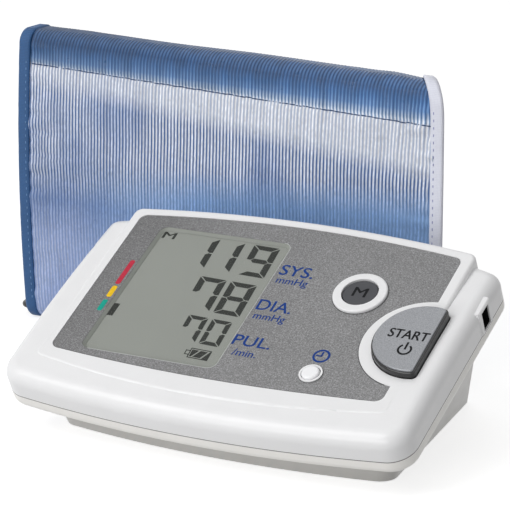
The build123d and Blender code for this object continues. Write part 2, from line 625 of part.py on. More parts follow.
def under_board(at, size, height):
    return on_deck(Pos(*at) * Rectangle(*size), BOARD_UNDER, BOARD_UNDER - height)


def board_components():
    """Controller, driver, crystal, regulator and the motor's connector, on the board's lower face."""
    right, front = BOARD_RIGHT, BOARD_FRONT
    parts = [under_board((right - 44, front + 31.5), (14, 14), 1.8),
             under_board((right - 24, front + 25.5), (10, 6), 1.6),
             under_board((right - 28, front + 43.5), (11, 4.5), 3.5),
             under_board((right - 12, front + 15.5), (6.5, 6.5), 2.2),
             under_board((BOARD_LEFT + 42, front + 11.5), (12, 5), 5.0)]
    for inward in (CAPACITOR_PITCH, 2 * CAPACITOR_PITCH):
        can = Pos(right + 2 - inward, front + 33.5) * Circle(CAPACITOR_RADIUS)
        parts.append(on_deck(can, BOARD_UNDER, BOARD_UNDER - CAPACITOR_HEIGHT))
    for i in range(RESISTORS):
        parts.append(under_board((RESISTOR_PITCH * i - 8, front + 19.5), (3.2, 1.6), 0.9))
    return parts


def buzzer():
    at = Pos(BOARD_LEFT + 22, BOARD_FRONT + 19.5)
    disc = on_deck(at * Circle(BUZZER_RADIUS), BOARD_UNDER, BOARD_UNDER - BUZZER_HEIGHT)
    return disc - on_deck(at * Circle(BUZZER_HOLE), BOARD_UNDER - BUZZER_HEIGHT / 2, BOARD_UNDER - BUZZER_HEIGHT - 1)


def board_screws():
    screws = []
    for at in POSTS:
        head = on_deck(Pos(*at) * Circle(2.1), BOARD_UNDER, BOARD_UNDER - 1.4)
        shank = on_deck(Pos(*at) * Circle(BOARD_SCREW_RADIUS), BOARD_UNDER + BOARD_SCREW_LENGTH, BOARD_UNDER)
        screws.append(head + shank)
    return screws


# ---------------------------------------------------------------- batteries and contacts
def battery(index):
    """Cells lie side by side and point front and back in turn."""
    flip = 1 if index % 2 else -1
    y_low = BAY_FRONT_Y + CONTACT_ROOM
    y_high = BAY_REAR_Y - CONTACT_ROOM
    body_low = y_low if flip > 0 else y_low + CELL_NUB
    body = along_y(CELL_RADIUS, body_low, body_low + CELL_LENGTH, cell_x(index), CELL_Z)
    body = fillet(body.edges().filter_by(GeomType.CIRCLE), 0.8)
    if flip > 0:
        nub = along_y(CELL_NUB_RADIUS, y_high - CELL_NUB, y_high, cell_x(index), CELL_Z)
    else:
        nub = along_y(CELL_NUB_RADIUS, y_low, y_low + CELL_NUB, cell_x(index), CELL_Z)
    return body + nub


def contact_strip(first, last, y_wall, facing):
    """Plate against the bay's end wall with a bowed leaf towards each cell's end."""
    width = cell_x(last) - cell_x(first) + CONTACT_SIZE
    middle = (cell_x(first) + cell_x(last)) / 2
    y_mid = y_wall + facing * CONTACT_THICKNESS / 2
    low = CONTACT_SIZE / 2
    strip = Pos(middle, y_mid, CELL_Z - low) * Box(width, CONTACT_THICKNESS, low - 0.3, align=UP)
    reach = CONTACT_ROOM - 0.05
    for i in range(first, last + 1):
        x = cell_x(i)
        strip = strip + Pos(x, y_mid, CELL_Z) * Box(CONTACT_SIZE, CONTACT_THICKNESS, CONTACT_SIZE)
        leaf = ThreePointArc((x - 3, y_wall + facing * 0.2), (x, y_wall + facing * (reach - 0.2)),
                             (x + 3, y_wall + facing * 0.2))
        profile = make_face([leaf, Line(leaf @ 1, leaf @ 0)])
        core = Pos(0, -facing * CONTACT_THICKNESS, 0) * profile
        bump = extrude(Plane.XY.offset(CELL_Z - 2) * (profile - core), 4.0)
        strip = strip + bump
    return strip


def battery_contacts():
    front = [contact_strip(0, 0, BAY_FRONT_Y, 1), contact_strip(1, 2, BAY_FRONT_Y, 1),
             contact_strip(3, 3, BAY_FRONT_Y, 1)]
    rear = [contact_strip(0, 1, BAY_REAR_Y, -1), contact_strip(2, 3, BAY_REAR_Y, -1)]
    return front + rear


# ---------------------------------------------------------------- air system
def along_x(radius, x_low, x_high, y, z):
    return Pos(x_low, y, z) * Rot(0, 90, 0) * Cylinder(radius, x_high - x_low, align=UP)


HEAD_LEFT = MOTOR_LEFT - HEAD_LENGTH


def pump_motor():
    y, z = PUMP_AT
    can = along_x(MOTOR_RADIUS, MOTOR_LEFT, MOTOR_LEFT + MOTOR_LENGTH, y, z)
    can = fillet(can.edges().filter_by(GeomType.CIRCLE).sort_by(Axis.X)[-1], 1.5)
    boss = along_x(4.0, MOTOR_LEFT + MOTOR_LENGTH, MOTOR_LEFT + MOTOR_LENGTH + 2.0, y, z)
    return can + boss


def pump_head():
    y, z = PUMP_AT
    block = Pos(MOTOR_LEFT - HEAD_LENGTH / 2, y, z) * Box(HEAD_LENGTH, HEAD_SIZE, HEAD_SIZE)
    block = fillet(block.edges().filter_by(Axis.X), 3.0)
    groove = block.cut(Pos(MOTOR_LEFT - HEAD_LENGTH / 2, y, z) * (
        Box(1.0, BIG, BIG) - along_x(HEAD_SIZE / 2 - 1.0, -10, 10, 0, 0)))
    port = along_x(PORT_RADIUS, HEAD_LEFT - PORT_LENGTH, HEAD_LEFT, y, AIR_Z)
    return groove + port


def pump_cushion():
    y, z = PUMP_AT
    length = MOTOR_LENGTH - 8
    low = BAY_TOP
    block = Pos(MOTOR_LEFT + 4 + length / 2, y, low) * Box(length, 20.0, CUSHION_HEIGHT, align=UP)
    return block - along_x(MOTOR_RADIUS + 0.1, MOTOR_LEFT, MOTOR_LEFT + MOTOR_LENGTH, y, z)


AIR_Z = BAY_TOP + VALVE_SIZE / 2      # valve, manifold and pump outlet share this height


def air_valve():
    """Solenoid valve: a coil in an iron yoke, its port in line with the manifold."""
    y = socket_centre().Y
    middle = VALVE_LEFT + VALVE_LENGTH / 2
    frame = Pos(middle, y, AIR_Z) * Box(VALVE_LENGTH, VALVE_SIZE, VALVE_SIZE)
    window = Pos(middle, y, AIR_Z) * Box(VALVE_LENGTH - 2 * VALVE_YOKE, BIG, VALVE_SIZE - VALVE_YOKE)
    coil = along_x(VALVE_COIL_RADIUS, VALVE_LEFT + VALVE_YOKE / 2,
                   VALVE_LEFT + VALVE_LENGTH - VALVE_YOKE / 2, y, AIR_Z)
    return frame - window + coil + along_x(PORT_RADIUS, VALVE_LEFT - PORT_LENGTH, VALVE_LEFT, y, AIR_Z)


def sensor_middle():
    """Place on the deck, across and up, straight above the manifold."""
    depth = BOARD_UNDER - SENSOR_HEIGHT
    slope = math.radians(DECK_TILT)
    return MANIFOLD_X, (socket_centre().Y + depth * math.sin(slope)) / math.cos(slope)


def sensor_foot():
    """Middle of the pressure sensor's lower face."""
    return DECK.from_local_coords(Vector(*sensor_middle(), BOARD_UNDER - SENSOR_HEIGHT))


def air_manifold():
    """Connector that joins valve, cuff socket, pressure sensor and pump."""
    y = socket_centre().Y
    half = MANIFOLD_LENGTH / 2
    body = along_x(MANIFOLD_RADIUS, MANIFOLD_X - half, MANIFOLD_X + half, y, AIR_Z)
    across = along_x(PORT_RADIUS, MANIFOLD_X - half - PORT_LENGTH, MANIFOLD_X + half + PORT_LENGTH, y, AIR_Z)
    up = Pos(MANIFOLD_X, y, AIR_Z) * Cylinder(PORT_RADIUS, MANIFOLD_RADIUS + PORT_LENGTH, align=UP)
    back = along_y(PORT_RADIUS, y, y + MANIFOLD_RADIUS + PORT_LENGTH, MANIFOLD_X, AIR_Z)
    return body + across + up + back


def tube(*points):
    path = FilletPolyline(*points, radius=TUBE_BEND) if len(points) > 2 else Line(*points)
    start = Plane(origin=path @ 0, z_dir=path % 0)
    ring = Circle(TUBE_RADIUS) - Circle(TUBE_BORE)
    return sweep(start * ring, path=path)


def pressure_sensor():
    body = under_board(sensor_middle(), (SENSOR_SIZE, SENSOR_SIZE), SENSOR_HEIGHT)
    foot = sensor_foot()
    nipple = Pos(foot.X, foot.Y, foot.Z - PORT_LENGTH) * Cylinder(PORT_RADIUS, PORT_LENGTH + SENSOR_HEIGHT / 2, align=UP)
    return body + nipple


def air_socket():
    """Elbow: the hose plug goes in from the left, and the inner tube pushes on from below."""
    at = socket_centre()
    inner = SOCKET_FLOOR_X + SOCKET_BODY_LENGTH
    body = along_x(SOCKET_BODY_RADIUS, SOCKET_FLOOR_X, inner, at.Y, at.Z)
    body = chamfer(body.edges().filter_by(GeomType.CIRCLE).sort_by(Axis.X)[-1], 0.8)
    body = body - along_x(SOCKET_BORE, SOCKET_FLOOR_X - 1, SOCKET_FLOOR_X + SOCKET_BORE_LENGTH, at.Y, at.Z)
    nipple = Pos(inner - SOCKET_NIPPLE_IN, at.Y, at.Z) * Cylinder(
        PORT_RADIUS, SOCKET_BODY_RADIUS + PORT_LENGTH, align=DOWN)
    return body + nipple


def dc_jack():
    at = socket_centre()
    face = HALF_WIDTH - JACK_FACE
    body = jack_prism(JACK_BODY[1:], face - JACK_BODY[0], face)
    body = body - along_x(JACK_BARREL_RADIUS - 0.1, face - JACK_CAVE, face + 1, at.Y, at.Z)
    return body + along_x(JACK_PIN_RADIUS, face - JACK_CAVE - 1, face - 0.6, at.Y, at.Z)


# ---------------------------------------------------------------- cuff
CUFF_REAR_Y = CUFF_FRONT_Y + CUFF_THICKNESS
FLAP_ROOM = FLAP + LAYER_GAP
SLEEVE_FOOT = FLAP_ROOM + SLEEVE
BLADDER_AT = SLEEVE_FOOT + LAYER_GAP
LINING_AT = BLADDER_AT + BLADDER + LAYER_GAP
LOOP_WALL = LINING_AT + LINING


def cuff_outline(height, inset):
    """Cross-section of the loop, depth by height, drawn in by the inset; front and rear gently bulged."""
    radius = (height ** 2 / 4 + CUFF_BULGE ** 2) / (2 * CUFF_BULGE) - inset
    low, high = inset, height - inset
    bulge = radius - math.sqrt(radius ** 2 - (height / 2 - inset) ** 2)
    near, far = CUFF_FRONT_Y + inset, CUFF_REAR_Y - inset
    front = ThreePointArc((near + bulge, low), (near, height / 2), (near + bulge, high))
    rear = ThreePointArc((far - bulge, high), (far, height / 2), (far - bulge, low))
    face = make_face([front, Line(front @ 1, rear @ 0), rear, Line(rear @ 1, front @ 0)])
    face = fillet(face.vertices().group_by(Axis.Y)[-1], CUFF_TOP_RADIUS - inset)
    return fillet(face.vertices().group_by(Axis.Y)[0], CUFF_BOTTOM_RADIUS - inset)


def cuff_form(inset):
    """Full length of the loop's form, filled, drawn in by the inset; its top falls towards the right."""
    sections = []
    for x, height in ((CUFF_LEFT - 1, CUFF_LEFT_HEIGHT), (CUFF_RIGHT + 1, CUFF_RIGHT_HEIGHT)):
        sections.append(Plane(origin=(x, 0, 0), x_dir=(0, 1, 0), z_dir=(1, 0, 0)) * cuff_outline(height, inset))
    return loft(sections, ruled=True)


def left_of(x_front):
    """Everything to the left of a slanted cut that meets the front face at the given place."""
    near = CUFF_FRONT_Y - BIG / 4
    far = CUFF_FRONT_Y + BIG / 4
    shift = CUFF_END_SLANT * BIG / 4
    corners = [(-BIG, near), (x_front + shift, near), (x_front - shift, far), (-BIG, far)]
    return extrude(Plane.XY.offset(-BIG / 2) * make_face(Polyline(*corners, close=True)), BIG)


def right_of(x):
    return Pos(x, 0, 0) * Box(BIG * 2, BIG * 2, BIG, align=(Align.MIN, Align.CENTER, Align.CENTER))


def front_block(low, left_high, right_high):
    """Space in front of the loop's middle, from one height up to a sloping line."""
    outline = Polyline((CUFF_LEFT, low), (CUFF_RIGHT, low), (CUFF_RIGHT, right_high), (CUFF_LEFT, left_high),
                       close=True)
    front = Plane(origin=(0, CUFF_FRONT_Y + CUFF_THICKNESS / 2, 0), x_dir=(1, 0, 0), z_dir=(0, -1, 0))
    return extrude(front * make_face(outline), CUFF_THICKNESS)


def ring_outline():
    left = CUFF_LEFT - RING_OVERHANG
    right = CUFF_RIGHT - RING_INSIDE
    middle = ((left + right) / 2, CUFF_FRONT_Y + CUFF_THICKNESS / 2)
    return Pos(*middle, RING_Z) * RectangleRounded(right - left, RING_REACH, RING_BEND)


def cuff_ring():
    outline = ring_outline().wire()
    start = Plane(origin=outline @ 0, z_dir=outline % 0)
    return sweep(start * Circle(RING_WIRE), path=outline)


def ring_channel():
    """Hem along the loop's bottom that the ring lies in, open at the left end."""
    radius = RING_WIRE + RING_CLEARANCE
    middle = CUFF_FRONT_Y + CUFF_THICKNESS / 2
    width = RING_REACH + 2 * radius
    length = CUFF_RIGHT - RING_INSIDE + radius - CUFF_LEFT + RING_OVERHANG
    return Pos(CUFF_LEFT - RING_OVERHANG, middle, RING_Z) * Box(
        length, width, 2 * radius, align=(Align.MIN, Align.CENTER, Align.CENTER))


def cuff_parts():
    form = {inset: cuff_form(inset) for inset in (
        0, FLAP, FLAP_ROOM, SLEEVE_FOOT, BLADDER_AT, BLADDER_AT + BLADDER, LINING_AT, LOOP_WALL)}
    hem = ring_channel()
    cloth = right_of(CUFF_LEFT + BINDING) & left_of(CUFF_RIGHT - BINDING)
    flap_place = front_block(FLAP_LOW_Z, SEAM_LEFT_Z, SEAM_RIGHT_Z)
    hook_place = front_block(HOOK_LOW_Z, HOOK_HIGH_Z, HOOK_HIGH_Z) & right_of(HOOK_LEFT) & left_of(HOOK_RIGHT)
    sleeve = (form[0] - form[SLEEVE_FOOT] - ((form[0] - form[FLAP_ROOM]) & flap_place)) & cloth
    hook_form = cuff_form(FLAP_ROOM + HOOK)
    sleeve = sleeve - hem - ((form[0] - hook_form) & hook_place)
    flap = (form[0] - form[FLAP]) & flap_place & cloth
    hook = (form[FLAP_ROOM] - hook_form) & hook_place
    inner = right_of(CUFF_LEFT + BLADDER_MARGIN) & left_of(CUFF_RIGHT - BLADDER_MARGIN)
    above_hem = Pos(0, 0, RING_Z + RING_WIRE + 2 * RING_CLEARANCE) * Box(BIG * 2, BIG * 2, BIG, align=UP)
    bladder = (form[BLADDER_AT] - form[BLADDER_AT + BLADDER]) & inner & above_hem
    lining = ((form[LINING_AT] - form[LOOP_WALL]) & cloth) - hem
    tape = form[0] - form[LOOP_WALL] - hem
    left = tape - right_of(CUFF_LEFT + BINDING) - (form[0] - right_of(CUFF_LEFT))
    right = (tape & left_of(CUFF_RIGHT)) - left_of(CUFF_RIGHT - BINDING)
    return {"cuff_sleeve": sleeve, "cuff_bladder": bladder, "cuff_lining": lining,
            "cuff_binding_left": left, "cuff_binding_right": right, "cuff_flap": flap, "cuff_hook_patch": hook}


def cuff_hose_port():
    """Elbow on the rear face; the hose pushes over its nipple."""
    x, z = CUFF_PORT_AT
    disc = along_y(CUFF_PORT_DISC[0], CUFF_REAR_Y - CUFF_PORT_DISC[1], CUFF_REAR_Y + CUFF_PORT_DISC[1], x, z)
    neck = along_y(CUFF_PORT_NECK[0], CUFF_REAR_Y, CUFF_REAR_Y + CUFF_PORT_NECK[1], x, z)
    y = CUFF_REAR_Y + CUFF_PORT_NECK[1] - CUFF_PORT_NECK[0]
    butt = x - CUFF_PORT_COLLAR[1]
    collar = along_x(CUFF_PORT_COLLAR[0], butt, x, y, z)
    nipple = along_x(CUFF_PORT_RADIUS, butt - CUFF_PORT_LENGTH, butt, y, z)
    return (disc + neck + collar + nipple) - cuff_form(-LAYER_GAP)


def air_tubes():
    """Silicone tubes, each pushed over the two nipples that it joins."""
    at = socket_centre()
    side = MANIFOLD_LENGTH / 2 + SEAT
    end = MANIFOLD_RADIUS + SEAT
    drop = SOCKET_FLOOR_X + SOCKET_BODY_LENGTH - SOCKET_NIPPLE_IN
    sensor_end = sensor_foot().Z - TUBE_RADIUS * math.tan(math.radians(DECK_TILT)) - SEAT
    return {
        "air_tube_pump": tube((HEAD_LEFT - SEAT, PUMP_AT[0], AIR_Z), (MANIFOLD_X, PUMP_AT[0], AIR_Z),
                              (MANIFOLD_X, at.Y + end, AIR_Z)),
        "air_tube_socket": tube((drop, at.Y, at.Z - SOCKET_BODY_RADIUS - SEAT), (drop, at.Y, AIR_Z),
                                (MANIFOLD_X - side, at.Y, AIR_Z)),
        "air_tube_sensor": tube((MANIFOLD_X, at.Y, AIR_Z + end), (MANIFOLD_X, at.Y, sensor_end)),
        "air_tube_valve": tube((VALVE_LEFT - SEAT, at.Y, AIR_Z), (MANIFOLD_X + side, at.Y, AIR_Z))}


PARTS = {}


def add(name, shape):
    """One node: a single solid, or a group of separate solids."""
    PARTS[name] = Compound(children=shape) if isinstance(shape, list) else shape


add("upper_housing", upper_housing())
add("lower_housing", lower_housing())
add("battery_cover", battery_cover())
add("rubber_pads", rubber_pads())
add("housing_screws", housing_screws())
add("panel_overlay", panel_overlay())
add("lcd_window", lcd_window())
add("lcd_module", lcd_module())
add("lcd_holder", lcd_holder())
add("zebra_strips", zebra_strips())
add("start_button", start_button())
add("start_button_face", start_button_face())
add("memory_button", round_key(MEMORY_AT, MEMORY_RADIUS, MEMORY_RISE, 0.5))
add("set_button", round_key(SET_AT, SET_RADIUS, SET_RISE, 0.8))
add("key_switches", key_switches())
add("main_board", main_board())
add("board_components", board_components())
add("buzzer", buzzer())
add("board_screws", board_screws())
for number in range(CELL_COUNT):
    add(f"battery_{number + 1}", battery(number))
add("battery_contacts", battery_contacts())
add("pump_motor", pump_motor())
add("pump_head", pump_head())
add("pump_cushion", pump_cushion())
add("air_valve", air_valve())
add("air_manifold", air_manifold())
add("pressure_sensor", pressure_sensor())
add("air_socket", air_socket())
add("dc_jack", dc_jack())
add("cuff_ring", cuff_ring())
add("cuff_hose_port", cuff_hose_port())
for name, shape in {**air_tubes(), **cuff_parts()}.items():
    add(name, shape)

os.makedirs("parts", exist_ok=True)
for name, shape in PARTS.items():
    export_step(shape, f"parts/{name}.step")
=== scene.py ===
"""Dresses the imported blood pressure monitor: cloth cuff, display, legends, finishes, light, camera.

Shared frame: X right along the monitor's front, Y to the back, Z up, the table at z = 0.
Shapes are written in millimetres. Materials, floor, lamps and camera are in metres, as Blender
has them.
"""
import bpy
import math
from mathutils import Matrix, Vector, noise


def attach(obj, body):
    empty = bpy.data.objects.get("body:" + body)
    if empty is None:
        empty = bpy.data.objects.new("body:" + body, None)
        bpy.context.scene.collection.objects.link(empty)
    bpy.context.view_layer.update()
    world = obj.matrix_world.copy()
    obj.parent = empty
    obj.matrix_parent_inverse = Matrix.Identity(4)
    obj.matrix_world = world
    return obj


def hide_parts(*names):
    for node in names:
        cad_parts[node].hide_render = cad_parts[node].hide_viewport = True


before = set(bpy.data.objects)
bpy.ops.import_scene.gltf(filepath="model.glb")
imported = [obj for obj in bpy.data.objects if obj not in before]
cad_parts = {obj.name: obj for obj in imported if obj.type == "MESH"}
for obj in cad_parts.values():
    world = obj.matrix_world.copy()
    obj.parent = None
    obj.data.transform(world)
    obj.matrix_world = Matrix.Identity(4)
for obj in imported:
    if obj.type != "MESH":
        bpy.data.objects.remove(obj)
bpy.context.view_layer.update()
MM = 0.001
# the joint between the two housings is a tilted plane: 11 mm high at the front, Y = -55
SEAM_TILT = math.radians(25.5)
SEAM_LEVEL = 11.0 + 55.0 * math.tan(SEAM_TILT)


# ---------------------------------------------------------------- meshes
def add_object(name, data):
    """New object in the scene's own collection."""
    obj = bpy.data.objects.new(name, data)
    bpy.context.scene.collection.objects.link(obj)
    return obj


def mesh_piece(name, verts, faces, body, material, smooth=True):
    """Mesh from millimetre vertices, riding on a body."""
    mesh = bpy.data.meshes.new(name)
    mesh.from_pydata([tuple(c * MM for c in v) for v in verts], [], faces)
    mesh.validate()
    mesh.update()
    if smooth:
        mesh.polygons.foreach_set("use_smooth", [True] * len(mesh.polygons))
    mesh.materials.append(material)
    obj = add_object(name, mesh)
    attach(obj, body)
    return obj


def grid_faces(rows, columns, wrap=False, flip=False, start=0):
    """Quads over a grid of vertices stored row by row."""
    faces = []
    for i in range(rows - 1):
        here = start + i * columns
        above = here + columns
        for j in range(columns if wrap else columns - 1):
            k = (j + 1) % columns
            quad = (here + j, here + k, above + k, above + j)
            faces.append(quad[::-1] if flip else quad)
    return faces


# ---------------------------------------------------------------- materials
COAT_ROUGHNESS = 0.08
SHEEN_ROUGHNESS = 0.35
# nearly all of a noise texture lies between these two values
NOISE_LOW, NOISE_HIGH = 0.3, 0.7
# a wave texture of scale 1 repeats at this distance
WAVE_REPEAT = 0.314
# metres from the joint's plane: where the painted shade on the lower housing's base sets in,
# and where the joint's line ends
RIM_FADE = (-0.0066, -0.0060)
JOINT_LINE_FADE = (0.00014, 0.00020)


def linear(*rgb):
    """Colour written as 0 to 255 on screen, as Blender's linear values (the sRGB curve)."""
    values = []
    for c in rgb:
        c /= 255
        values.append(c / 12.92 if c <= 0.04045 else ((c + 0.055) / 1.055) ** 2.4)
    return values


def greys(*stops):
    """Ramp stops from (position, brightness) pairs."""
    return [(position, [value] * 3) for position, value in stops]


def on_screen(*stops):
    """Ramp stops from (position, 0 to 255 colour) pairs."""
    return [(position, linear(*rgb)) for position, rgb in stops]


def tints(rgb, *stops):
    """Ramp stops from (position, factor) pairs on one 0 to 255 colour."""
    base = linear(*rgb)
    return [(position, [min(1.0, c * factor) for c in base]) for position, factor in stops]


class Shader:
    """Builds a procedural material on object coordinates, which are in metres."""

    def __init__(self, name, rough, metallic=0.0, coat=0.0, sheen=0.0, specular=0.5, alpha=1.0):
        self.mat = bpy.data.materials.new(name)
        self.mat.use_nodes = True
        self.tree = self.mat.node_tree
        self.bsdf = self.tree.nodes["Principled BSDF"]
        for socket, value in (
                ("Roughness", rough), ("Metallic", metallic), ("Alpha", alpha),
                ("Coat Weight", coat), ("Coat Roughness", COAT_ROUGHNESS),
                ("Sheen Weight", sheen), ("Sheen Roughness", SHEEN_ROUGHNESS),
                ("Specular IOR Level", specular)):
            self.put(socket, value)
        self.place = self.node("ShaderNodeTexCoord").outputs["Object"]

    def put(self, socket, value):
        self.bsdf.inputs[socket].default_value = value

    def node(self, kind, **settings):
        made = self.tree.nodes.new(kind)
        for key, value in settings.items():
            setattr(made, key, value)
        return made

    def feed(self, socket, value):
        """Links an output to a socket, or writes a number or a colour into it."""
        if isinstance(value, (int, float)):
            socket.default_value = value
        elif isinstance(value, (list, tuple)):
            socket.default_value = (*value, 1)
        else:
            self.tree.links.new(value, socket)

    def axes(self):
        """X, Y and Z of the place."""
        split = self.node("ShaderNodeSeparateXYZ")
        self.feed(split.inputs[0], self.place)
        return [split.outputs[axis] for axis in "XYZ"]

    def noise(self, scale, detail=2.0, vector=None):
        tex = self.node("ShaderNodeTexNoise")
        tex.inputs["Scale"].default_value = scale
        tex.inputs["Detail"].default_value = detail
        self.feed(tex.inputs["Vector"], vector or self.place)
        return tex.outputs["Fac"]

    def stretched_noise(self, scales, detail=2.0):
        """Noise with its own scale along X, Y and Z."""
        mapping = self.node("ShaderNodeMapping")
        mapping.inputs["Scale"].default_value = scales
        self.feed(mapping.inputs["Vector"], self.place)
        return self.noise(1.0, detail, mapping.outputs["Vector"])

    def bands(self, axis, pitch, distortion, detail=2.0):
        """Height of parallel threads, pitch in mm apart along an axis."""
        wave = self.node("ShaderNodeTexWave", wave_type="BANDS", bands_direction=axis)
        wave.inputs["Scale"].default_value = WAVE_REPEAT / (pitch * MM)
        wave.inputs["Distortion"].default_value = distortion
        wave.inputs["Detail"].default_value = detail
        self.feed(wave.inputs["Vector"], self.place)
        return wave.outputs["Fac"]

    def ramp(self, factor, stops):
        """Colour ramp from (position, linear colour) stops."""
        ramp = self.node("ShaderNodeValToRGB")
        elements = ramp.color_ramp.elements
        while len(elements) < len(stops):
            elements.new(0.5)
        for element, (position, colour) in zip(elements, stops):
            element.position = position
            element.color = (*colour, 1)
        self.feed(ramp.inputs["Fac"], factor)
        return ramp.outputs["Color"]

    def ranged(self, value, low, high, out_low=0.0, out_high=1.0):
        """The range low to high as out_low to out_high, held beyond both ends."""
        node = self.node("ShaderNodeMapRange")
        for key, number in (("From Min", low), ("From Max", high),
                            ("To Min", out_low), ("To Max", out_high)):
            node.inputs[key].default_value = number
        self.feed(node.inputs["Value"], value)
        return node.outputs["Result"]

    def calc(self, operation, *values):
        """Math node on sockets or numbers; MULTIPLY_ADD is a * b + c."""
        node = self.node("ShaderNodeMath", operation=operation)
        for socket, value in zip(node.inputs, values):
            self.feed(socket, value)
        return node.outputs[0]

    def mix(self, factor, a, b, blend="MIX"):
        node = self.node("ShaderNodeMix", data_type="RGBA", blend_type=blend)
        for socket, value in ((node.inputs[0], factor), (node.inputs[6], a), (node.inputs[7], b)):
            self.feed(socket, value)
        return node.outputs[2]

    def times(self, colour, *layers):
        """Colour multiplied by each layer."""
        for layer in layers:
            colour = self.mix(1.0, colour, layer, "MULTIPLY")
        return colour

    def parted(self, colour, painted_base_shade):
        """Colour with the dark line between the housings, times a painted shade below the rim."""
        _, y, z = self.axes()
        height = self.calc("MULTIPLY_ADD", y, -math.tan(SEAM_TILT), z)
        over = self.calc("SUBTRACT", height, SEAM_LEVEL * MM)
        # painted shade: below the rim the colour is multiplied by the given factor, darkening the
        # base
        colour = self.times(colour, self.ranged(over, *RIM_FADE, painted_base_shade, 1.0))
        on_line = self.ranged(self.calc("ABSOLUTE", over), *JOINT_LINE_FADE, 1.0, 0.0)
        return self.mix(on_line, colour, linear(74, 71, 68))

    def colour(self, socket):
        self.feed(self.bsdf.inputs["Base Color"], socket)

    def uneven_roughness(self, drift, low, high):
        """Roughness that wanders between two values with a noise."""
        self.feed(self.bsdf.inputs["Roughness"],
                  self.ranged(drift, NOISE_LOW, NOISE_HIGH, low, high))

    def bump(self, *layers):
        """Bump from (height, strength, distance in mm) layers, one on another."""
        normal = None
        for height, strength, distance in layers:
            node = self.node("ShaderNodeBump")
            node.inputs["Strength"].default_value = strength
            node.inputs["Distance"].default_value = distance * MM
            self.feed(node.inputs["Height"], height)
            if normal:
                self.feed(node.inputs["Normal"], normal)
            normal = node.outputs["Normal"]
        self.feed(self.bsdf.inputs["Normal"], normal)


def moulded(name, rgb, rough, metallic=0.0, coat=0.0, mottle=0.04, scale=90.0,
            grain=0.05, grain_scale=2600.0, specular=0.5, painted_base_shade=None):
    """Moulded plastic, rubber or plated metal: faint colour drift, uneven gloss and a fine grain.

    The last argument is for the two housings: their joint is drawn on them, and below the rim
    their colour is multiplied by it, a painted shade on the lower housing's base.
    """
    s = Shader(name, rough, metallic, coat, specular=specular)
    shade = s.ramp(s.noise(scale, 3.0),
                   tints(rgb, (NOISE_LOW, 1 - mottle), (NOISE_HIGH, 1 + mottle)))
    s.colour(s.parted(shade, painted_base_shade) if painted_base_shade else shade)
    s.uneven_roughness(s.noise(scale * 2.3), rough * 0.88, rough * 1.14)
    s.bump((s.noise(grain_scale), grain, 0.05))
    return s.mat


def woven(name, rgb, pitch, rough=0.75, sheen=0.4, contrast=0.22):
    """Plain woven tape or lining with crossing threads, pitch in mm apart."""
    s = Shader(name, rough, sheen=sheen)
    cross = s.calc("MULTIPLY", *(s.bands(axis, pitch, 1.2, 1.0) for axis in "XZ"))
    thread = s.ramp(cross, tints(rgb, (0.0, 1 - contrast), (0.8, 1 + contrast)))
    soft = s.ramp(s.noise(60.0, 3.0), greys((NOISE_LOW, 0.86), (NOISE_HIGH, 1.0)))
    s.colour(s.times(thread, soft))
    s.bump((cross, 0.5, 0.12), (s.noise(900.0), 0.25, 0.1))
    return s.mat


def start_metal():
    """Satin silver lacquer with a very fine flake."""
    s = Shader("start_silver", 0.40, 0.35, coat=0.1)
    s.colour(s.ramp(s.noise(3400.0), tints((142, 144, 148), (0.32, 0.80), (0.68, 1.25))))
    s.uneven_roughness(s.noise(1500.0), 0.3, 0.42)
    s.bump((s.noise(5200.0), 0.06, 0.03))
    return s.mat


def panel_lacquer():
    """Grey printed sheet with metallic flakes that sparkle unevenly, with a painted shade
    darkening its upper left.
    """
    s = Shader("panel_speckle", 0.42, 0.25, coat=0.15)
    flakes = s.ramp(s.noise(2300.0, 3.0),
                    tints((128, 128, 129), (0.30, 0.55), (0.52, 1.0), (0.72, 1.75)))
    drift = s.ramp(s.noise(26.0), greys((NOISE_LOW, 0.86), (NOISE_HIGH, 1.0)))
    x, _, z = s.axes()
    # metres from the upper left, going right and down the slope
    inward = s.calc("MULTIPLY_ADD", z, -0.5, x)
    # painted shade: the colour darkened towards the panel's upper left
    corner = s.ranged(inward, -0.095, -0.045, 0.66, 1.0)
    s.colour(s.times(flakes, drift, corner))
    s.uneven_roughness(s.noise(4000.0), 0.28, 0.5)
    s.bump((s.noise(4200.0), 0.10, 0.04))
    return s.mat


def display_glass():
    """Grey-green liquid crystal, a little uneven, under its polariser."""
    s = Shader("display_grey", 0.5, specular=0.1)
    s.colour(s.ramp(s.noise(24.0), tints((147, 150, 144), (NOISE_LOW, 0.98), (NOISE_HIGH, 1.02))))
    s.bump((s.noise(3800.0), 0.05, 0.02))
    return s.mat


def clear_window():
    """Clear hard cover, nearly unseen but for its gloss."""
    s = Shader("window_clear", 0.05, specular=0.15, alpha=0.02)
    s.put("Base Color", (0.86, 0.89, 0.86, 1))
    s.uneven_roughness(s.noise(60.0), 0.03, 0.08)
    return s.mat


def ink(name, rgb, rough=0.55):
    """Printed or dyed colour, a little uneven."""
    s = Shader(name, rough, specular=0.12)
    s.colour(s.ramp(s.noise(1400.0), tints(rgb, (NOISE_LOW, 0.9), (NOISE_HIGH, 1.1))))
    return s.mat


def cell_sleeve():
    """Dark sleeve of a cell, copper at its rear end; the cells lie from Y = -9 to 42 mm."""
    s = Shader("cell_sleeve", 0.3, 0.4)
    _, y, _ = s.axes()
    along = s.ranged(y, -0.009, 0.042)
    s.colour(s.ramp(along, on_screen((0.72, (60, 64, 72)), (0.74, (196, 140, 64)))))
    s.bump((s.noise(1500.0), 0.08, 0.03))
    return s.mat


# ---------------------------------------------------------------- cuff: the CAD loop's own sizes
CUFF_LEFT, CUFF_RIGHT = -138.5, 35.3
FRONT_Y, THICKNESS, BULGE = 57.6, 22.0, 3.0
REAR_Y = FRONT_Y + THICKNESS
LEFT_HEIGHT, RIGHT_HEIGHT = 110.6, 106.4
# the heights belong to places this far past both ends
HEIGHT_OVERRUN = 1
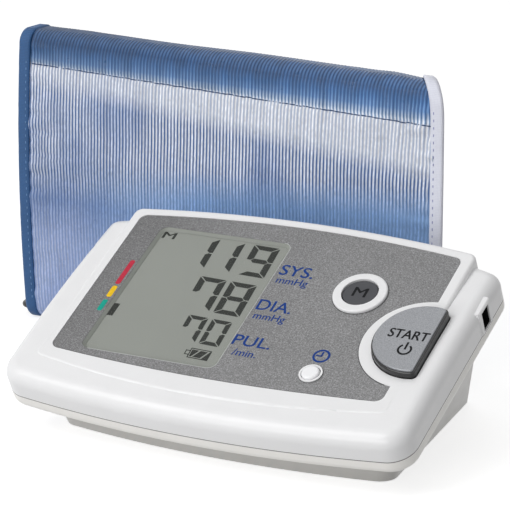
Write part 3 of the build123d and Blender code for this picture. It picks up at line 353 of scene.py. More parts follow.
# the roll at the top is narrow at the left end and opens over PINCH_REACH
TOP_RADIUS, PINCHED_RADIUS, PINCH_REACH, BOTTOM_RADIUS = 7.6, 3.6, 9.0, 6.4
TOP_SAMPLES, BOTTOM_SAMPLES = 14, 9
# the right end runs back to the left, and its top corner is drawn in
END_SLANT, CORNER_REACH, CORNER_DRAW = 0.57, 14.0, 1.8
# from the outer cloth to the lining, and the tapes' width
WALL, BINDING = 5.7, 5.2
RIB_PITCH = 1.34
SEAM_LEFT_Z, SEAM_RIGHT_Z = 98.9, 91.7
SEAM_SLOPE = (SEAM_RIGHT_Z - SEAM_LEFT_Z) / (CUFF_RIGHT - CUFF_LEFT)

# ---------------------------------------------------------------- cuff: its forms in cloth
CLOTH_COLUMNS, LINING_COLUMNS = 660, 90
# points up the front and down the rear of each
CLOTH_SAMPLES, LINING_SAMPLES, TAPE_SAMPLES = (88, 40), (40, 40), (96, 60)
# the outer cloth runs under the tapes; the lining stops this far from the loop's ends
UNDER_TAPE, LINING_SHORT = 1.2, 1.5
CLOTH_SINK = 0.1
# the lowest cloth stays off the table
NEAR_TABLE, TABLE_GAP = 3.0, 0.05
# heights of the forms, and how much narrower than a cosine the ribs' crests are
RIB, SEWN_EDGE, SEAM_GROOVE, FLAP_STEP = 0.34, 0.75, 0.45, 0.25
RIB_SHARPNESS = 1.4
PUCKER, RIGHT_PUCKER, CREASE, GATHER = 0.35, 0.9, 1.0, 1.3
SOFT_WAVE, END_FOLD = 0.55, 0.7
STITCH_SPACING, STITCH_MARGIN = 2.5, 9.0


def wander(*place):
    """Smooth noise round zero, at a place given in its own waves."""
    return noise.noise(Vector(place))


def bell(distance, width):
    return math.exp(-(distance / width) ** 2)


def fade(distance, reach):
    return math.exp(-distance / reach)


def cuff_height(x):
    share = (x - CUFF_LEFT + HEIGHT_OVERRUN) / (CUFF_RIGHT - CUFF_LEFT + 2 * HEIGHT_OVERRUN)
    return LEFT_HEIGHT + (RIGHT_HEIGHT - LEFT_HEIGHT) * share


def face_depth(z, height):
    """How far the bulged front or rear face is drawn back at a height."""
    radius = (height ** 2 / 4 + BULGE ** 2) / (2 * BULGE)
    return radius - math.sqrt(radius ** 2 - (z - height / 2) ** 2)


def loop_roll(height, level, radius, up, samples):
    """Two quarter rounds that join the faces, over the top (up = 1) or under the bottom (-1)."""
    depth = face_depth(level, height)
    points = []
    for side in (-up, up):
        centre = FRONT_Y + depth + radius if side < 0 else REAR_Y - depth - radius
        for i in range(1, samples):
            angle = math.pi / 2 * i / samples
            a = angle if side == -up else math.pi / 2 - angle
            ny, nz = side * math.cos(a), up * math.sin(a)
            points.append((centre + radius * ny, level + radius * nz, ny, nz))
    return points


def loop_points(x, front_count, rear_count):
    """Points (y, z) with outward normals: up the loop's front, over, down the rear and back."""
    height = cuff_height(x)
    top = TOP_RADIUS - (TOP_RADIUS - PINCHED_RADIUS) * fade(max(x - CUFF_LEFT, 0), PINCH_REACH)
    low, high = BOTTOM_RADIUS, height - top
    points = []
    for i in range(front_count):
        z = low + (high - low) * i / (front_count - 1)
        points.append((FRONT_Y + face_depth(z, height), z, -1.0, 0.0))
    points += loop_roll(height, high, top, 1, TOP_SAMPLES)
    for i in range(rear_count):
        z = high - (high - low) * i / (rear_count - 1)
        points.append((REAR_Y - face_depth(z, height), z, 1.0, 0.0))
    return points + loop_roll(height, low, BOTTOM_RADIUS, -1, BOTTOM_SAMPLES)


def end_x(y, z, at_front):
    """Right-hand cut: slanted back to the left, and drawn in a little at its top corner."""
    over = max(0.0, z - RIGHT_HEIGHT + CORNER_REACH) / CORNER_REACH
    return at_front - END_SLANT * (y - FRONT_Y) - CORNER_DRAW * over ** 2.5


def seam_z(x):
    return SEAM_LEFT_Z + SEAM_SLOPE * (x - CUFF_LEFT)


def cloth_lift(x, y, z, ny, span_left, span_right):
    """Outward displacement of the outer cloth: ribs, sewn edges, seam and soft wrinkles."""
    rib = 0.5 + 0.5 * math.cos(2 * math.pi * x / RIB_PITCH)
    lift = RIB * rib ** RIB_SHARPNESS
    from_left, from_right = max(x - span_left, 0), max(span_right - x, 0)
    lift -= SEWN_EDGE * fade(min(from_left, from_right), reach=4.0)
    if ny < -0.2:
        # on the front face: the sewn seam's groove, and the cloth under it a step proud of the flap
        off = z - seam_z(x)
        lift -= SEAM_GROOVE * bell(off, width=0.7)
        lift += FLAP_STEP / (1 + math.exp(off / 0.5))
        # puckers along the seam, stronger at the right
        at_right = fade(from_right, reach=26.0)
        pucker = wander(x * 0.33, z * 0.05, 3.1)
        lift += (PUCKER + RIGHT_PUCKER * at_right) * pucker * bell(off + 2, width=9.0)
        # slanting creases that run down from the seam near the right end
        crease = wander(x * 0.16 + z * 0.10, z * 0.05, 9.4)
        lift += CREASE * crease * at_right * bell(off + 12, width=14.0)
        # gathers beside the left binding at mid height
        gather = wander(x * 0.06, z * 0.42, 5.2)
        lift += GATHER * gather * fade(from_left, reach=12.0) * bell(z - 62, width=15.0)
    lift += SOFT_WAVE * wander(x * 0.022, z * 0.06, y * 0.02 + 7.7)
    near_end = fade(from_left, reach=11.0) + fade(from_right, reach=14.0)
    lift += END_FOLD * wander(x * 0.10, z * 0.30, 1.3) * near_end
    return lift


def outer_cloth(material):
    left, right = CUFF_LEFT + BINDING - UNDER_TAPE, CUFF_RIGHT - BINDING + UNDER_TAPE
    verts = []
    for i in range(CLOTH_COLUMNS):
        t = i / (CLOTH_COLUMNS - 1)
        for y, z, ny, nz in loop_points(left + (right - left) * t, *CLOTH_SAMPLES):
            cut = end_x(y, z, right)
            x = left + (cut - left) * t
            lift = cloth_lift(x, y, z, ny, left, cut) - CLOTH_SINK
            lifted = z + nz * lift
            verts.append((x, y + ny * lift, lifted if z > NEAR_TABLE else max(TABLE_GAP, lifted)))
    faces = grid_faces(CLOTH_COLUMNS, len(verts) // CLOTH_COLUMNS, wrap=True)
    return mesh_piece("cuff_cloth", verts, faces, "cuff", material)


def inner_cloth(material):
    left, right = CUFF_LEFT + LINING_SHORT, CUFF_RIGHT - LINING_SHORT
    verts = []
    for i in range(LINING_COLUMNS):
        t = i / (LINING_COLUMNS - 1)
        for y, z, ny, nz in loop_points(left + (right - left) * t, *LINING_SAMPLES):
            inset = WALL - 0.25 * wander(t * 8.0, z * 0.08, y * 0.1)
            x = left + (end_x(y - ny * inset, z, right) - left) * t
            verts.append((x, y - ny * inset, z - nz * inset))
    faces = grid_faces(LINING_COLUMNS, len(verts) // LINING_COLUMNS, wrap=True, flip=True)
    return mesh_piece("cuff_lining_cloth", verts, faces, "cuff", material)


def tape_profile():
    """Tape folded round an edge: (distance from the cloth towards the end, depth into the loop)."""
    proud, inside, bend = 0.45, WALL + 0.2, 1.9
    middle = BINDING - bend
    quarter = [math.pi / 2 * i / 8 for i in range(9)]
    points = [(-0.1, 0.35), (0.05, -0.1), (0.5, -proud)]
    points += [(middle - 1.2, -proud), (middle - 0.6, -proud)]
    points += [(middle + bend * math.sin(a), -proud + bend * (1 - math.cos(a))) for a in quarter]
    points += [(middle + bend * math.cos(a), inside - bend * (1 - math.sin(a))) for a in quarter]
    return points + [(0.5, inside), (0.0, inside - 0.4)]


def tape_edge(at_left):
    """X of a tape's edge on the cloth, at the front."""
    return CUFF_LEFT + BINDING if at_left else CUFF_RIGHT - BINDING


def binding(name, at_left, material):
    profile = tape_profile()
    edge = tape_edge(at_left)
    points = loop_points(edge, *TAPE_SAMPLES)
    verts = []
    for y, z, ny, nz in points:
        for along, depth in profile:
            ripple = 0.10 * wander(z * 0.35, y * 0.3, along * 0.4)
            inset = min(depth, WALL + 0.1) - ripple
            yy, zz = y - ny * inset, z - nz * inset
            x = edge - along if at_left else end_x(yy, zz, edge) + along
            verts.append((x, yy, max(zz, 0.02)))
    # one row more than there are points, whose corners come round to the first row
    faces = [tuple(corner % len(verts) for corner in quad)
             for quad in grid_faces(len(points) + 1, len(profile), flip=not at_left)]
    return mesh_piece(name, verts, faces, "cuff", material)


def stitches(name, path, material, length, radius):
    """Row of thread stitches; path holds (centre, direction, normal)."""
    verts, faces = [], []
    # shares of the length along a stitch, and of its radius there
    rings = [(-0.5, 0.25), (-0.38, 0.8), (0.0, 1.0), (0.38, 0.8), (0.5, 0.25)]
    sides, flatness = 6, 0.7
    for centre, along, normal in path:
        along, normal = Vector(along).normalized(), Vector(normal).normalized()
        across = along.cross(normal)
        start = len(verts)
        for share, fullness in rings:
            for k in range(sides):
                a = 2 * math.pi * k / sides
                p = Vector(centre) + along * share * length
                p += (across * math.cos(a) + normal * math.sin(a) * flatness) * radius * fullness
                verts.append(tuple(p))
        faces += grid_faces(len(rings), sides, wrap=True, start=start)
        faces.append(tuple(range(start + sides - 1, start - 1, -1)))
        end = start + (len(rings) - 1) * sides
        faces.append(tuple(range(end, end + sides)))
    return mesh_piece(name, verts, faces, "cuff", material)


def edge_stitch_path(at_left, from_edge):
    """Stitches up a tape, front and rear, from_edge in from its edge on the cloth."""
    path = []
    edge = tape_edge(at_left)
    height = cuff_height(edge)
    for side in (-1, 1):
        z = STITCH_MARGIN
        while z < height - STITCH_MARGIN:
            depth = face_depth(z, height)
            y = FRONT_Y + depth if side < 0 else REAR_Y - depth
            x = edge - from_edge if at_left else end_x(y, z, edge) + from_edge
            path.append(((x, y + side * 0.5, z), (0, 0, 1), (0, side, 0)))
            z += STITCH_SPACING
    return path


def seam_stitch_path():
    """Stitches along the sewn seam, not quite in line."""
    path = []
    x = CUFF_LEFT + BINDING + 2
    while x < CUFF_RIGHT - BINDING - 1:
        z = seam_z(x) - 0.1
        y = FRONT_Y + face_depth(z, cuff_height(x))
        z += 0.25 * wander(x * 0.3, 0.0, 4.0)
        path.append(((x, y + 0.15, z), (1, 0, -0.042), (0, -1, 0)))
        x += STITCH_SPACING
    return path


def nylon_below_seam(s, across, level, on_cord):
    """The loop's own cloth, blue under painted light and shade: painted highlights make the cords
    silvery, most of all in a band under the seam, a painted fold shadow darkens it at mid height,
    and low down it is painted lavender, and a lighter plain blue behind the monitor.

    level is metres over the seam, negative here.
    """
    rise = s.ranged(level, -0.099, 0.0)
    # painted highlight: how far the cords turn near white, by height, in streaks
    streak = s.ramp(s.stretched_noise((60, 60, 30), 4.0), greys((0.34, 0.55), (0.60, 1.3)))
    gloss = s.times(s.ramp(rise, greys((0.0, 0.30), (0.34, 0.24), (0.50, 0.12), (0.60, 0.55),
                                       (0.78, 0.80), (1.0, 0.80))), streak)
    # painted light and shade by height: lavender low down, a painted fold shadow at mid height
    hollow = s.ramp(rise, on_screen((0.0, (140, 160, 204)), (0.34, (130, 151, 196)),
                                    (0.50, (80, 108, 158)), (0.62, (58, 90, 142)),
                                    (1.0, (66, 96, 148))))
    crest = s.ramp(rise, on_screen((0.0, (160, 178, 222)), (0.34, (152, 171, 214)),
                                   (0.50, (116, 143, 192)), (0.8, (138, 162, 204))))
    crest = s.mix(gloss, crest, linear(236, 241, 251))
    # painted highlight: the cords paler towards the right
    crest = s.mix(s.ranged(across, -0.04, 0.025, 0.0, 0.36), crest, linear(234, 239, 250))
    # painted highlight: the silver band under the seam, deeper towards the right
    band = s.times(s.ranged(s.calc("MULTIPLY_ADD", across, 0.069, level), -0.0180, -0.0116),
                   s.ranged(across, -0.12, -0.06, 0.55, 1.0))
    crest = s.mix(band, crest, linear(247, 248, 252))
    hollow = s.mix(band, hollow, linear(172, 183, 205))
    # painted light: plain blue low down, from the middle to the right, behind the monitor, made
    # lighter against the shade that the monitor casts there
    low_down = s.ranged(s.calc("MULTIPLY_ADD", across, -0.092, level), -0.0349, -0.0239, 1.0, 0.0)
    low_blue_painted_light = s.calc("MULTIPLY", low_down, s.ranged(across, -0.115, -0.06))
    crest = s.mix(low_blue_painted_light, crest, linear(146, 182, 230))
    hollow = s.mix(low_blue_painted_light, hollow, linear(122, 155, 199))
    grain = s.ramp(s.stretched_noise((1500, 1500, 600)),
                   greys((NOISE_LOW, 0.80), (NOISE_HIGH, 1.08)))
    # each cord a little lighter or darker than the next
    single = s.ramp(s.stretched_noise((520, 520, 9)),
                    greys((NOISE_LOW, 0.80), (NOISE_HIGH, 1.06)))
    return s.mix(on_cord, hollow, s.times(crest, grain, single))


def nylon_above_seam(s, across, level, on_cord):
    """The flap: a painted highlight makes it silvery next to the seam and glint on the cords at the
    roll; deep blue towards the roll, partly its darker cloth and partly painted shade.
    """
    # painted highlight near the seam and glints at the top, painted shade towards the roll
    rise = s.ranged(s.calc("MULTIPLY_ADD", across, -0.014, level), -0.0004, 0.0116)
    hollow = s.ramp(rise, on_screen((0.0, (112, 142, 178)), (0.09, (120, 148, 184)),
                                    (0.18, (84, 116, 156)), (0.37, (60, 98, 148)),
                                    (0.62, (42, 82, 132)), (0.87, (24, 60, 104))))
    crest = s.ramp(rise, on_screen((0.0, (226, 232, 243)), (0.09, (230, 236, 246)),
                                   (0.18, (188, 204, 226)), (0.37, (112, 148, 194)),
                                   (0.62, (76, 118, 168)), (0.87, (44, 86, 134)),
                                   (1.0, (72, 108, 154))))
    fleck = s.ramp(s.stretched_noise((260, 260, 60), 3.0), greys((0.35, 0.80), (0.75, 1.15)))
    # painted shade: the flap darker at its left end, lighter towards the right
    rightward = s.ranged(across, -0.135, 0.03, 0.82, 1.16)
    return s.times(s.mix(on_cord, hollow, crest), fleck, rightward)


def ribbed_nylon():
    """Glossy corded nylon, blue in the hollows, silvery on the cords by painted highlights,
    coloured by the seam.
    """
    s = Shader("cuff_nylon", 0.38, 0.05, sheen=0.08, specular=0.4)
    s.put("Sheen Tint", (0.90, 0.93, 1.0, 1))
    across, _, up = s.axes()
    # metres over the sewn seam, which falls to the right
    level = s.calc("SUBTRACT", s.calc("MULTIPLY_ADD", across, -SEAM_SLOPE, up),
                   (SEAM_LEFT_Z - SEAM_SLOPE * CUFF_LEFT) * MM)
    on_cord = s.ranged(s.bands("X", RIB_PITCH, 0.25), 0.22, 0.78)
    s.colour(s.mix(s.ranged(level, -0.0006, 0.0006), nylon_below_seam(s, across, level, on_cord),
                   nylon_above_seam(s, across, level, on_cord)))
    s.uneven_roughness(s.noise(300.0, 3.0), 0.26, 0.46)
    s.bump((s.stretched_noise((900, 900, 2600)), 0.2, 0.05))
    return s.mat


cloth = ribbed_nylon()
binding_dark = woven("binding_dark", (40, 88, 140), 0.55, rough=0.6, sheen=0.15)
# painted highlight: the right end's tape is the same tape as the left, painted pale where it shows
# lit
binding_light = woven("binding_light", (238, 240, 254), 0.55, rough=0.6, sheen=0.2, contrast=0.06)
lining_cloth = woven("lining_weave", (112, 122, 150), 0.7)
thread_dark = ink("thread_dark", (42, 68, 108), 0.6)
thread_pale = ink("thread_pale", (116, 152, 196), 0.6)
thread_mid = ink("thread_mid", (142, 146, 190), 0.6)

skin = outer_cloth(cloth)
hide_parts("cuff_sleeve", "cuff_flap")
inner = inner_cloth(lining_cloth)
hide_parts("cuff_lining")
tape_left = binding("cuff_tape_left", True, binding_dark)
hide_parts("cuff_binding_left")
tape_right = binding("cuff_tape_right", False, binding_light)
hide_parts("cuff_binding_right")
for name, path, thread, length, radius, slot in (
        ("stitch_left", edge_stitch_path(True, 1.1), thread_pale, 1.0, 0.17, "binding_dark"),
        ("stitch_right", edge_stitch_path(False, 1.3), thread_mid, 1.0, 0.17, "binding_light"),
        ("stitch_seam", seam_stitch_path(), thread_dark, 2.6, 0.21, "cuff_cloth")):
    stitches(name, path, thread, length, radius)

# ---------------------------------------------------------------- the sloped deck
DECK_TILT = math.radians(27.3)
DECK_Z = 50.304
# heights over the deck's plane
PANEL_H, DISPLAY_H, START_H, MEMORY_H = -0.2, -1.3, 2.9, 0.5
# how far print stands proud; a second strike of a letter lies STRIKE_STEP over the first
PRINT, EDGE_PRINT, LETTER_DEPTH, STRIKE_STEP = 0.03, 0.02, 0.04, 0.004


def deck(u, v, h):
    """Deck place (across, up the slope, above its plane) in the shared frame."""
    return (u, v * math.cos(DECK_TILT) - h * math.sin(DECK_TILT),
            DECK_Z + v * math.sin(DECK_TILT) + h * math.cos(DECK_TILT))


def deck_prints(name, shapes, height, material, body="monitor", thickness=PRINT):
    """Flat raised shapes on the deck: each shape is a list of (u, v) corners."""
    verts, faces = [], []
    for shape in shapes:
        start, n = len(verts), len(shape)
        for h in (height + thickness, height):
            verts += [deck(u, v, h) for u, v in shape]
        faces.append(tuple(range(start, start + n)))
        for k in range(n):
            m = (k + 1) % n
            faces.append((start + k, start + n + k, start + n + m, start + m))
    return mesh_piece(name, verts, faces, body, material, smooth=False)


def deck_text(name, text, box, height, material, weight, body="monitor"):
    """Lettering fitted to a box (u low, v low, u high, v high), struck twice, weight aside each."""
    curve = bpy.data.curves.new(name, "FONT")
    curve.body = text
    curve.resolution_u = 6
    shape = add_object(name + "_curve", curve)
    bpy.context.view_layer.update()
    mesh = bpy.data.meshes.new_from_object(
        shape.evaluated_get(bpy.context.evaluated_depsgraph_get()))
    bpy.data.objects.remove(shape)
    flat = [tuple(v.co) for v in mesh.vertices]
    letters = [tuple(p.vertices) for p in mesh.polygons]
    bpy.data.meshes.remove(mesh)
    x_low, x_high = min(p[0] for p in flat), max(p[0] for p in flat)
    y_low, y_high = min(p[1] for p in flat), max(p[1] for p in flat)
    verts, faces = [], []
    for strike, side in enumerate((-weight, weight)):
        start = len(verts)
        for x, y, _ in flat:
            u = box[0] + (x - x_low) / (x_high - x_low) * (box[2] - box[0])
            v = box[1] + (y - y_low) / (y_high - y_low) * (box[3] - box[1])
            verts.append(deck(u + side, v + side / 2, height + STRIKE_STEP * strike))
        faces += [tuple(start + k for k in letter) for letter in letters]
    obj = mesh_piece(name, verts, faces, body, material, smooth=False)
    solid = obj.modifiers.new("thickness", "SOLIDIFY")
    solid.thickness = LETTER_DEPTH * MM
    solid.offset = -1
    return obj


def ring_shapes(centre, outer, inside, start=0.0, sweep=360.0, count=40):
    """Ring, or a part of one in degrees, as quads."""
    shapes = []
    for k in range(count):
        a, b = (math.radians(start + sweep * n / count) for n in (k, k + 1))
        shapes.append([(centre[0] + r * math.cos(angle), centre[1] + r * math.sin(angle))
                       for r, angle in ((inside, a), (outer, a), (outer, b), (inside, b))])
    return shapes


def bar(u_low, v_low, u_high, v_high, radius=0.0):
    """Rectangle, with rounded corners if a radius is given."""
    if not radius:
        return [(u_low, v_low), (u_high, v_low), (u_high, v_high), (u_low, v_high)]
    left, right, near, far = u_low + radius, u_high - radius, v_low + radius, v_high - radius
    points = []
    for cu, cv, first in ((right, far, 0), (left, far, 90), (left, near, 180), (right, near, 270)):
        for turn in range(0, 91, 18):
            a = math.radians(first + turn)
            points.append((cu + radius * math.cos(a), cv + radius * math.sin(a)))
    return points


# ---------------------------------------------------------------- display
WINDOW_BOX = (-50.0, -45.2, 0.2, 15.8)
WINDOW_CORNER = 3.0
# the display sits a touch askew in its window: it leans by v and falls by u from a middle
LCD_LEAN, LCD_FALL, LCD_MIDDLE_U = -0.045, -0.03, -4.0
SEGMENTS = {"0": "abcdef", "1": "bc", "7": "abcf", "8": "abcdefg", "9": "abcdfg"}
# symbol, left, low, right, high, upright stroke, level stroke
DIGITS = (
    ("1", -36.5, -0.9, -26.6, 14.0, 2.75, 2.0), ("1", -26.8, -0.9, -16.9, 14.0, 2.75, 2.0),
    ("9", -13.4, -0.9, -3.5, 14.0, 2.75, 2.0), ("7", -24.9, -20.0, -14.9, -4.6, 2.75, 2.0),
    ("8", -13.3, -20.0, -3.4, -4.6, 2.75, 2.0), ("7", -20.2, -34.6, -12.8, -22.8, 2.1, 1.6),
    ("0", -11.3, -34.6, -3.8, -22.8, 2.1, 1.6))
# outline of the battery symbol with its plus pole, then its three slanted fills
BATTERY_PIVOT = -39
BATTERY = [
    bar(-12.2, -41.4, -4.5, -41.05), bar(-12.2, -37.25, -4.5, -36.9),
    bar(-12.2, -41.4, -11.85, -36.9), bar(-4.85, -41.4, -4.5, -36.9),
    bar(-13.7, -40.2, -12.2, -39.85), bar(-13.7, -38.45, -12.2, -38.1),
    bar(-13.7, -40.2, -13.35, -38.1),
    [(-11.55, -40.75), (-10.9, -40.75), (-9.0, -37.6), (-11.55, -37.6)],
    [(-10.3, -40.75), (-7.5, -40.75), (-5.8, -37.6), (-8.4, -37.6)],
    [(-6.9, -41.05), (-4.85, -41.05), (-4.85, -37.25), (-5.15, -37.6)]]
# the segment beside the coloured scale
SCALE_SEGMENT = (-49.6, -28.3, -46.9, -22.4)


def lcd_place(u, v, pivot):
    return u + LCD_LEAN * (v - pivot), v + LCD_FALL * (u - LCD_MIDDLE_U)


def digit(symbol, left, low, right, high, upright, level, gap=0.3):
    """Seven-segment digit from its outer box; upright and level are the stroke widths."""
    mid, half, cut = (low + high) / 2, level / 2, gap * 0.6
    in_left, in_right, top, bottom = left + upright, right - upright, high - level, low + level
    shapes = {
        "a": [(in_left, top), (in_right, top), (right - gap, high), (left + gap, high)],
        "b": [(right, high - gap), (right, mid + gap), (right - upright / 2, mid + gap / 2),
              (in_right + gap, mid + half), (in_right + gap, top - cut)],
        "c": [(right, mid - gap), (right, low + gap), (in_right + gap, bottom + cut),
              (in_right + gap, mid - half), (right - upright / 2, mid - gap / 2)],
        "d": [(left + gap, low), (right - gap, low), (in_right, bottom), (in_left, bottom)],
        "e": [(left, mid - gap), (left + upright / 2, mid - gap / 2), (in_left - gap, mid - half),
              (in_left - gap, bottom + cut), (left, low + gap)],
        "f": [(left, high - gap), (in_left - gap, top - cut), (in_left - gap, mid + half),
              (left + upright / 2, mid + gap / 2), (left, mid + gap)],
        "g": [(left + upright / 2 + gap, mid), (in_left, mid + half), (in_right, mid + half),
              (right - upright / 2 - gap, mid), (in_right, mid - half), (in_left, mid - half)]}
    return [[lcd_place(u, v, mid) for u, v in shapes[name]] for name in SEGMENTS[symbol]]


def display_liner(material):
    """Printed border that hides the window's seat: it slopes in from the opening over the ledge."""
    low_u, low_v, high_u, high_v = WINDOW_BOX
    verts = []
    # how far outside the window's box, and how far under the panel's face
    for grow, sink in ((0.05, 0.04), (-0.9, 0.98)):
        ring = bar(low_u - grow, low_v - grow, high_u + grow, high_v + grow, WINDOW_CORNER + grow)
        verts += [deck(u, v, PANEL_H - sink) for u, v in ring]
    faces = grid_faces(2, len(ring), wrap=True)
    return mesh_piece("display_liner", verts, faces, "monitor", material, smooth=False)


def display_edge_shapes(width=0.22):
    """Painted highlight: a pale line on the lit right and near edges of the opening."""
    low_u, low_v, high_u, high_v = WINDOW_BOX
    left, right = low_u + WINDOW_CORNER, high_u - WINDOW_CORNER
    near, far = low_v + WINDOW_CORNER, high_v - WINDOW_CORNER
    shapes = [bar(high_u, near, high_u + width, far), bar(left, low_v - width, right, low_v)]
    for v, start in ((near, 270), (far, 0)):
        shapes += ring_shapes((right, v), WINDOW_CORNER + width, WINDOW_CORNER, start, 90, 12)
    return shapes


lcd_ink = ink("display_segment", (22, 25, 21), 0.6)
display_shapes = [shape for row in DIGITS for shape in digit(*row)]
display_shapes += [[lcd_place(u, v, BATTERY_PIVOT) for u, v in shape] for shape in BATTERY]
display_shapes.append(bar(*SCALE_SEGMENT))
deck_prints("display_segments", display_shapes, DISPLAY_H, lcd_ink)
mark = deck_text("display_memory_mark", "M", (-48.5, 11.4, -43.8, 14.5), DISPLAY_H + PRINT,
                 lcd_ink, weight=0.12)
display_grey = display_glass()
liner = display_liner(display_grey)
# painted highlight along the display opening's lit edges
painted_edge_highlight = ink("display_edge_highlight", (186, 188, 187))
deck_prints("display_edge_highlight", display_edge_shapes(), PANEL_H, painted_edge_highlight,
                    thickness=EDGE_PRINT)

# ---------------------------------------------------------------- printed legends
MEMORY_CENTRE, SET_CENTRE, START_CENTRE = (33.4, -2.6), (32.8, -40.4), (62.2, -20.7)
CLOCK_CENTRE, POWER_CENTRE = (32.8, -32.2), (59.9, -26.6)
# the panel's bowed front edge: its bow, and its place on the deck at u = 0
PANEL_BOW_RADIUS, PANEL_FRONT_V = 650.7, -50.1
# the dark line along that edge, partly painted shadow of the panel's step: its reach either
# side, step, and distances from the edge
EDGE_LINE_REACH, EDGE_LINE_STEP, EDGE_LINE = 58, 4, (0.1, 0.36)


def panel_front(u):
    return PANEL_FRONT_V + PANEL_BOW_RADIUS - math.sqrt(PANEL_BOW_RADIUS ** 2 - u ** 2)


def panel_outline_shapes():
    """Dark lines round the keys' rings and along the panel's front edge, the latter partly a
    painted shadow of the panel's step there.
    """
    shapes = (ring_shapes(MEMORY_CENTRE, 9.42, 9.2, count=72) + ring_shapes(SET_CENTRE, 4.08, 3.9)
              + ring_shapes(START_CENTRE, 19.85, 19.6, 98, 160, 60))
    near, far = EDGE_LINE
    for u in range(-EDGE_LINE_REACH, EDGE_LINE_REACH, EDGE_LINE_STEP):
        w = u + EDGE_LINE_STEP
        shapes.append([(u, panel_front(u) + near), (w, panel_front(w) + near),
                       (w, panel_front(w) + far), (u, panel_front(u) + far)])
    return shapes


blue = ink("legend_blue", (24, 60, 130))
dark = ink("legend_dark", (10, 11, 14))
outline_dark = ink("outline_dark", (44, 45, 48))
for name, text, box, weight in (
        ("legend_systolic", "SYS.", (1.6, 1.0, 13.9, 5.9), 0.06),
        ("legend_systolic_unit", "mmHg", (2.4, -3.9, 13.7, 0.0), 0.04),
        ("legend_diastolic", "DIA.", (1.3, -16.3, 13.8, -11.4), 0.06),
        ("legend_diastolic_unit", "mmHg", (2.3, -21.5, 13.6, -17.6), 0.04),
        ("legend_pulse", "PUL.", (0.7, -33.2, 14.3, -28.6), 0.06),
        ("legend_pulse_unit", "/min.", (2.9, -37.8, 11.4, -34.8), 0.04)):
    deck_text(name, text, box, PANEL_H + PRINT, blue, weight)
clock = ring_shapes(CLOCK_CENTRE, 2.95, 2.2)
clock += [bar(32.5, -32.5, 33.1, -30.3), bar(30.9, -32.5, 33.1, -31.95)]
deck_prints("legend_clock", clock, PANEL_H, blue)
for name, low, high, material in (
        ("mark_red", -14.6, -2.5, ink("bar_red", (190, 52, 72))),
        ("mark_yellow", -21.1, -15.6, ink("bar_yellow", (240, 196, 40))),
        ("mark_teal", -27.9, -22.5, ink("bar_teal", (28, 158, 140)))):
    deck_prints(name, [bar(-53.0, low, -51.1, high, 0.7)], PANEL_H, material)
deck_text("legend_start", "START", (51.9, -22.0, 65.4, -18.1), START_H + PRINT, dark,
                  0.1, "start_key")
power = ring_shapes(POWER_CENTRE, 2.45, 1.75, 125, 290) + [bar(59.55, -26.6, 60.25, -23.3)]
deck_prints("legend_power", power, START_H, dark, "start_key")
deck_text("legend_memory", "M", (31.0, -4.4, 35.7, -0.2), MEMORY_H + PRINT, dark,
                  0.09, "memory_key")
deck_prints("panel_outlines", panel_outline_shapes(), PANEL_H, outline_dark)

# ---------------------------------------------------------------- power jack
JACK_Y, JACK_Z = 5.88, 44.80
JACK_MOUTH_X, JACK_END_X = 73.6, 70.8
# half sizes along and across the hole, outside and inside the lining
JACK_OUTSIDE, JACK_INSIDE = (2.55, 3.65), (2.35, 3.45)


def jack_well(material):
    """Black plastic that lines the power jack's hole, which leans as the housings' joint does."""
    verts = []
    for x, (half_along, half_across) in ((JACK_MOUTH_X, JACK_OUTSIDE), (JACK_END_X, JACK_OUTSIDE),
                                         (JACK_END_X, JACK_INSIDE), (JACK_MOUTH_X, JACK_INSIDE)):
        for a, c in ((-1, -1), (1, -1), (1, 1), (-1, 1)):
            along, across = a * half_along, c * half_across
            verts.append((x, JACK_Y + along * math.cos(SEAM_TILT) - across * math.sin(SEAM_TILT),
                          JACK_Z + along * math.sin(SEAM_TILT) + across * math.cos(SEAM_TILT)))
    # a fifth row comes round to the first, and closes the rim at the mouth
    faces = [tuple(corner % len(verts) for corner in quad) for quad in grid_faces(5, 4, wrap=True)]
    return mesh_piece("jack_well", verts, faces, "monitor", material, smooth=False)


jack_black = moulded("jack_black", (14, 14, 16), rough=0.7, mottle=0.1, specular=0.1)
jack_well(jack_black)

# ---------------------------------------------------------------- finishes of the CAD pieces
pad_rubber = moulded("pad_rubber", (96, 96, 98), rough=0.8, mottle=0.08, grain=0.4,
                     grain_scale=1200)
cover_grey = moulded("cover_grey", (206, 206, 208), rough=0.42, mottle=0.02, grain=0.2,
                     grain_scale=1500)
key_rubber = moulded("key_rubber", (54, 55, 60), rough=0.5, mottle=0.05, grain=0.25,
                     grain_scale=1800)
board_green = moulded("board_green", (34, 92, 54), rough=0.35, mottle=0.12, scale=350, grain=0.2,
                      grain_scale=900)
foam = moulded("foam", (70, 70, 72), rough=0.95, mottle=0.25, scale=900, grain=1.0,
               grain_scale=1400)
plated = moulded("plated_steel", (190, 190, 192), rough=0.32, metallic=1.0, mottle=0.06,
                 grain=0.15)
black_matte = moulded("black_matte", (28, 28, 30), rough=0.55, mottle=0.1, grain=0.2)
natural = moulded("natural_plastic", (222, 222, 216), rough=0.45, mottle=0.03)
port_grey = moulded("port_grey", (92, 94, 99), rough=0.5, mottle=0.06)
silicone = moulded("silicone", (200, 203, 203), rough=0.5, mottle=0.04)
sleeve = cell_sleeve()
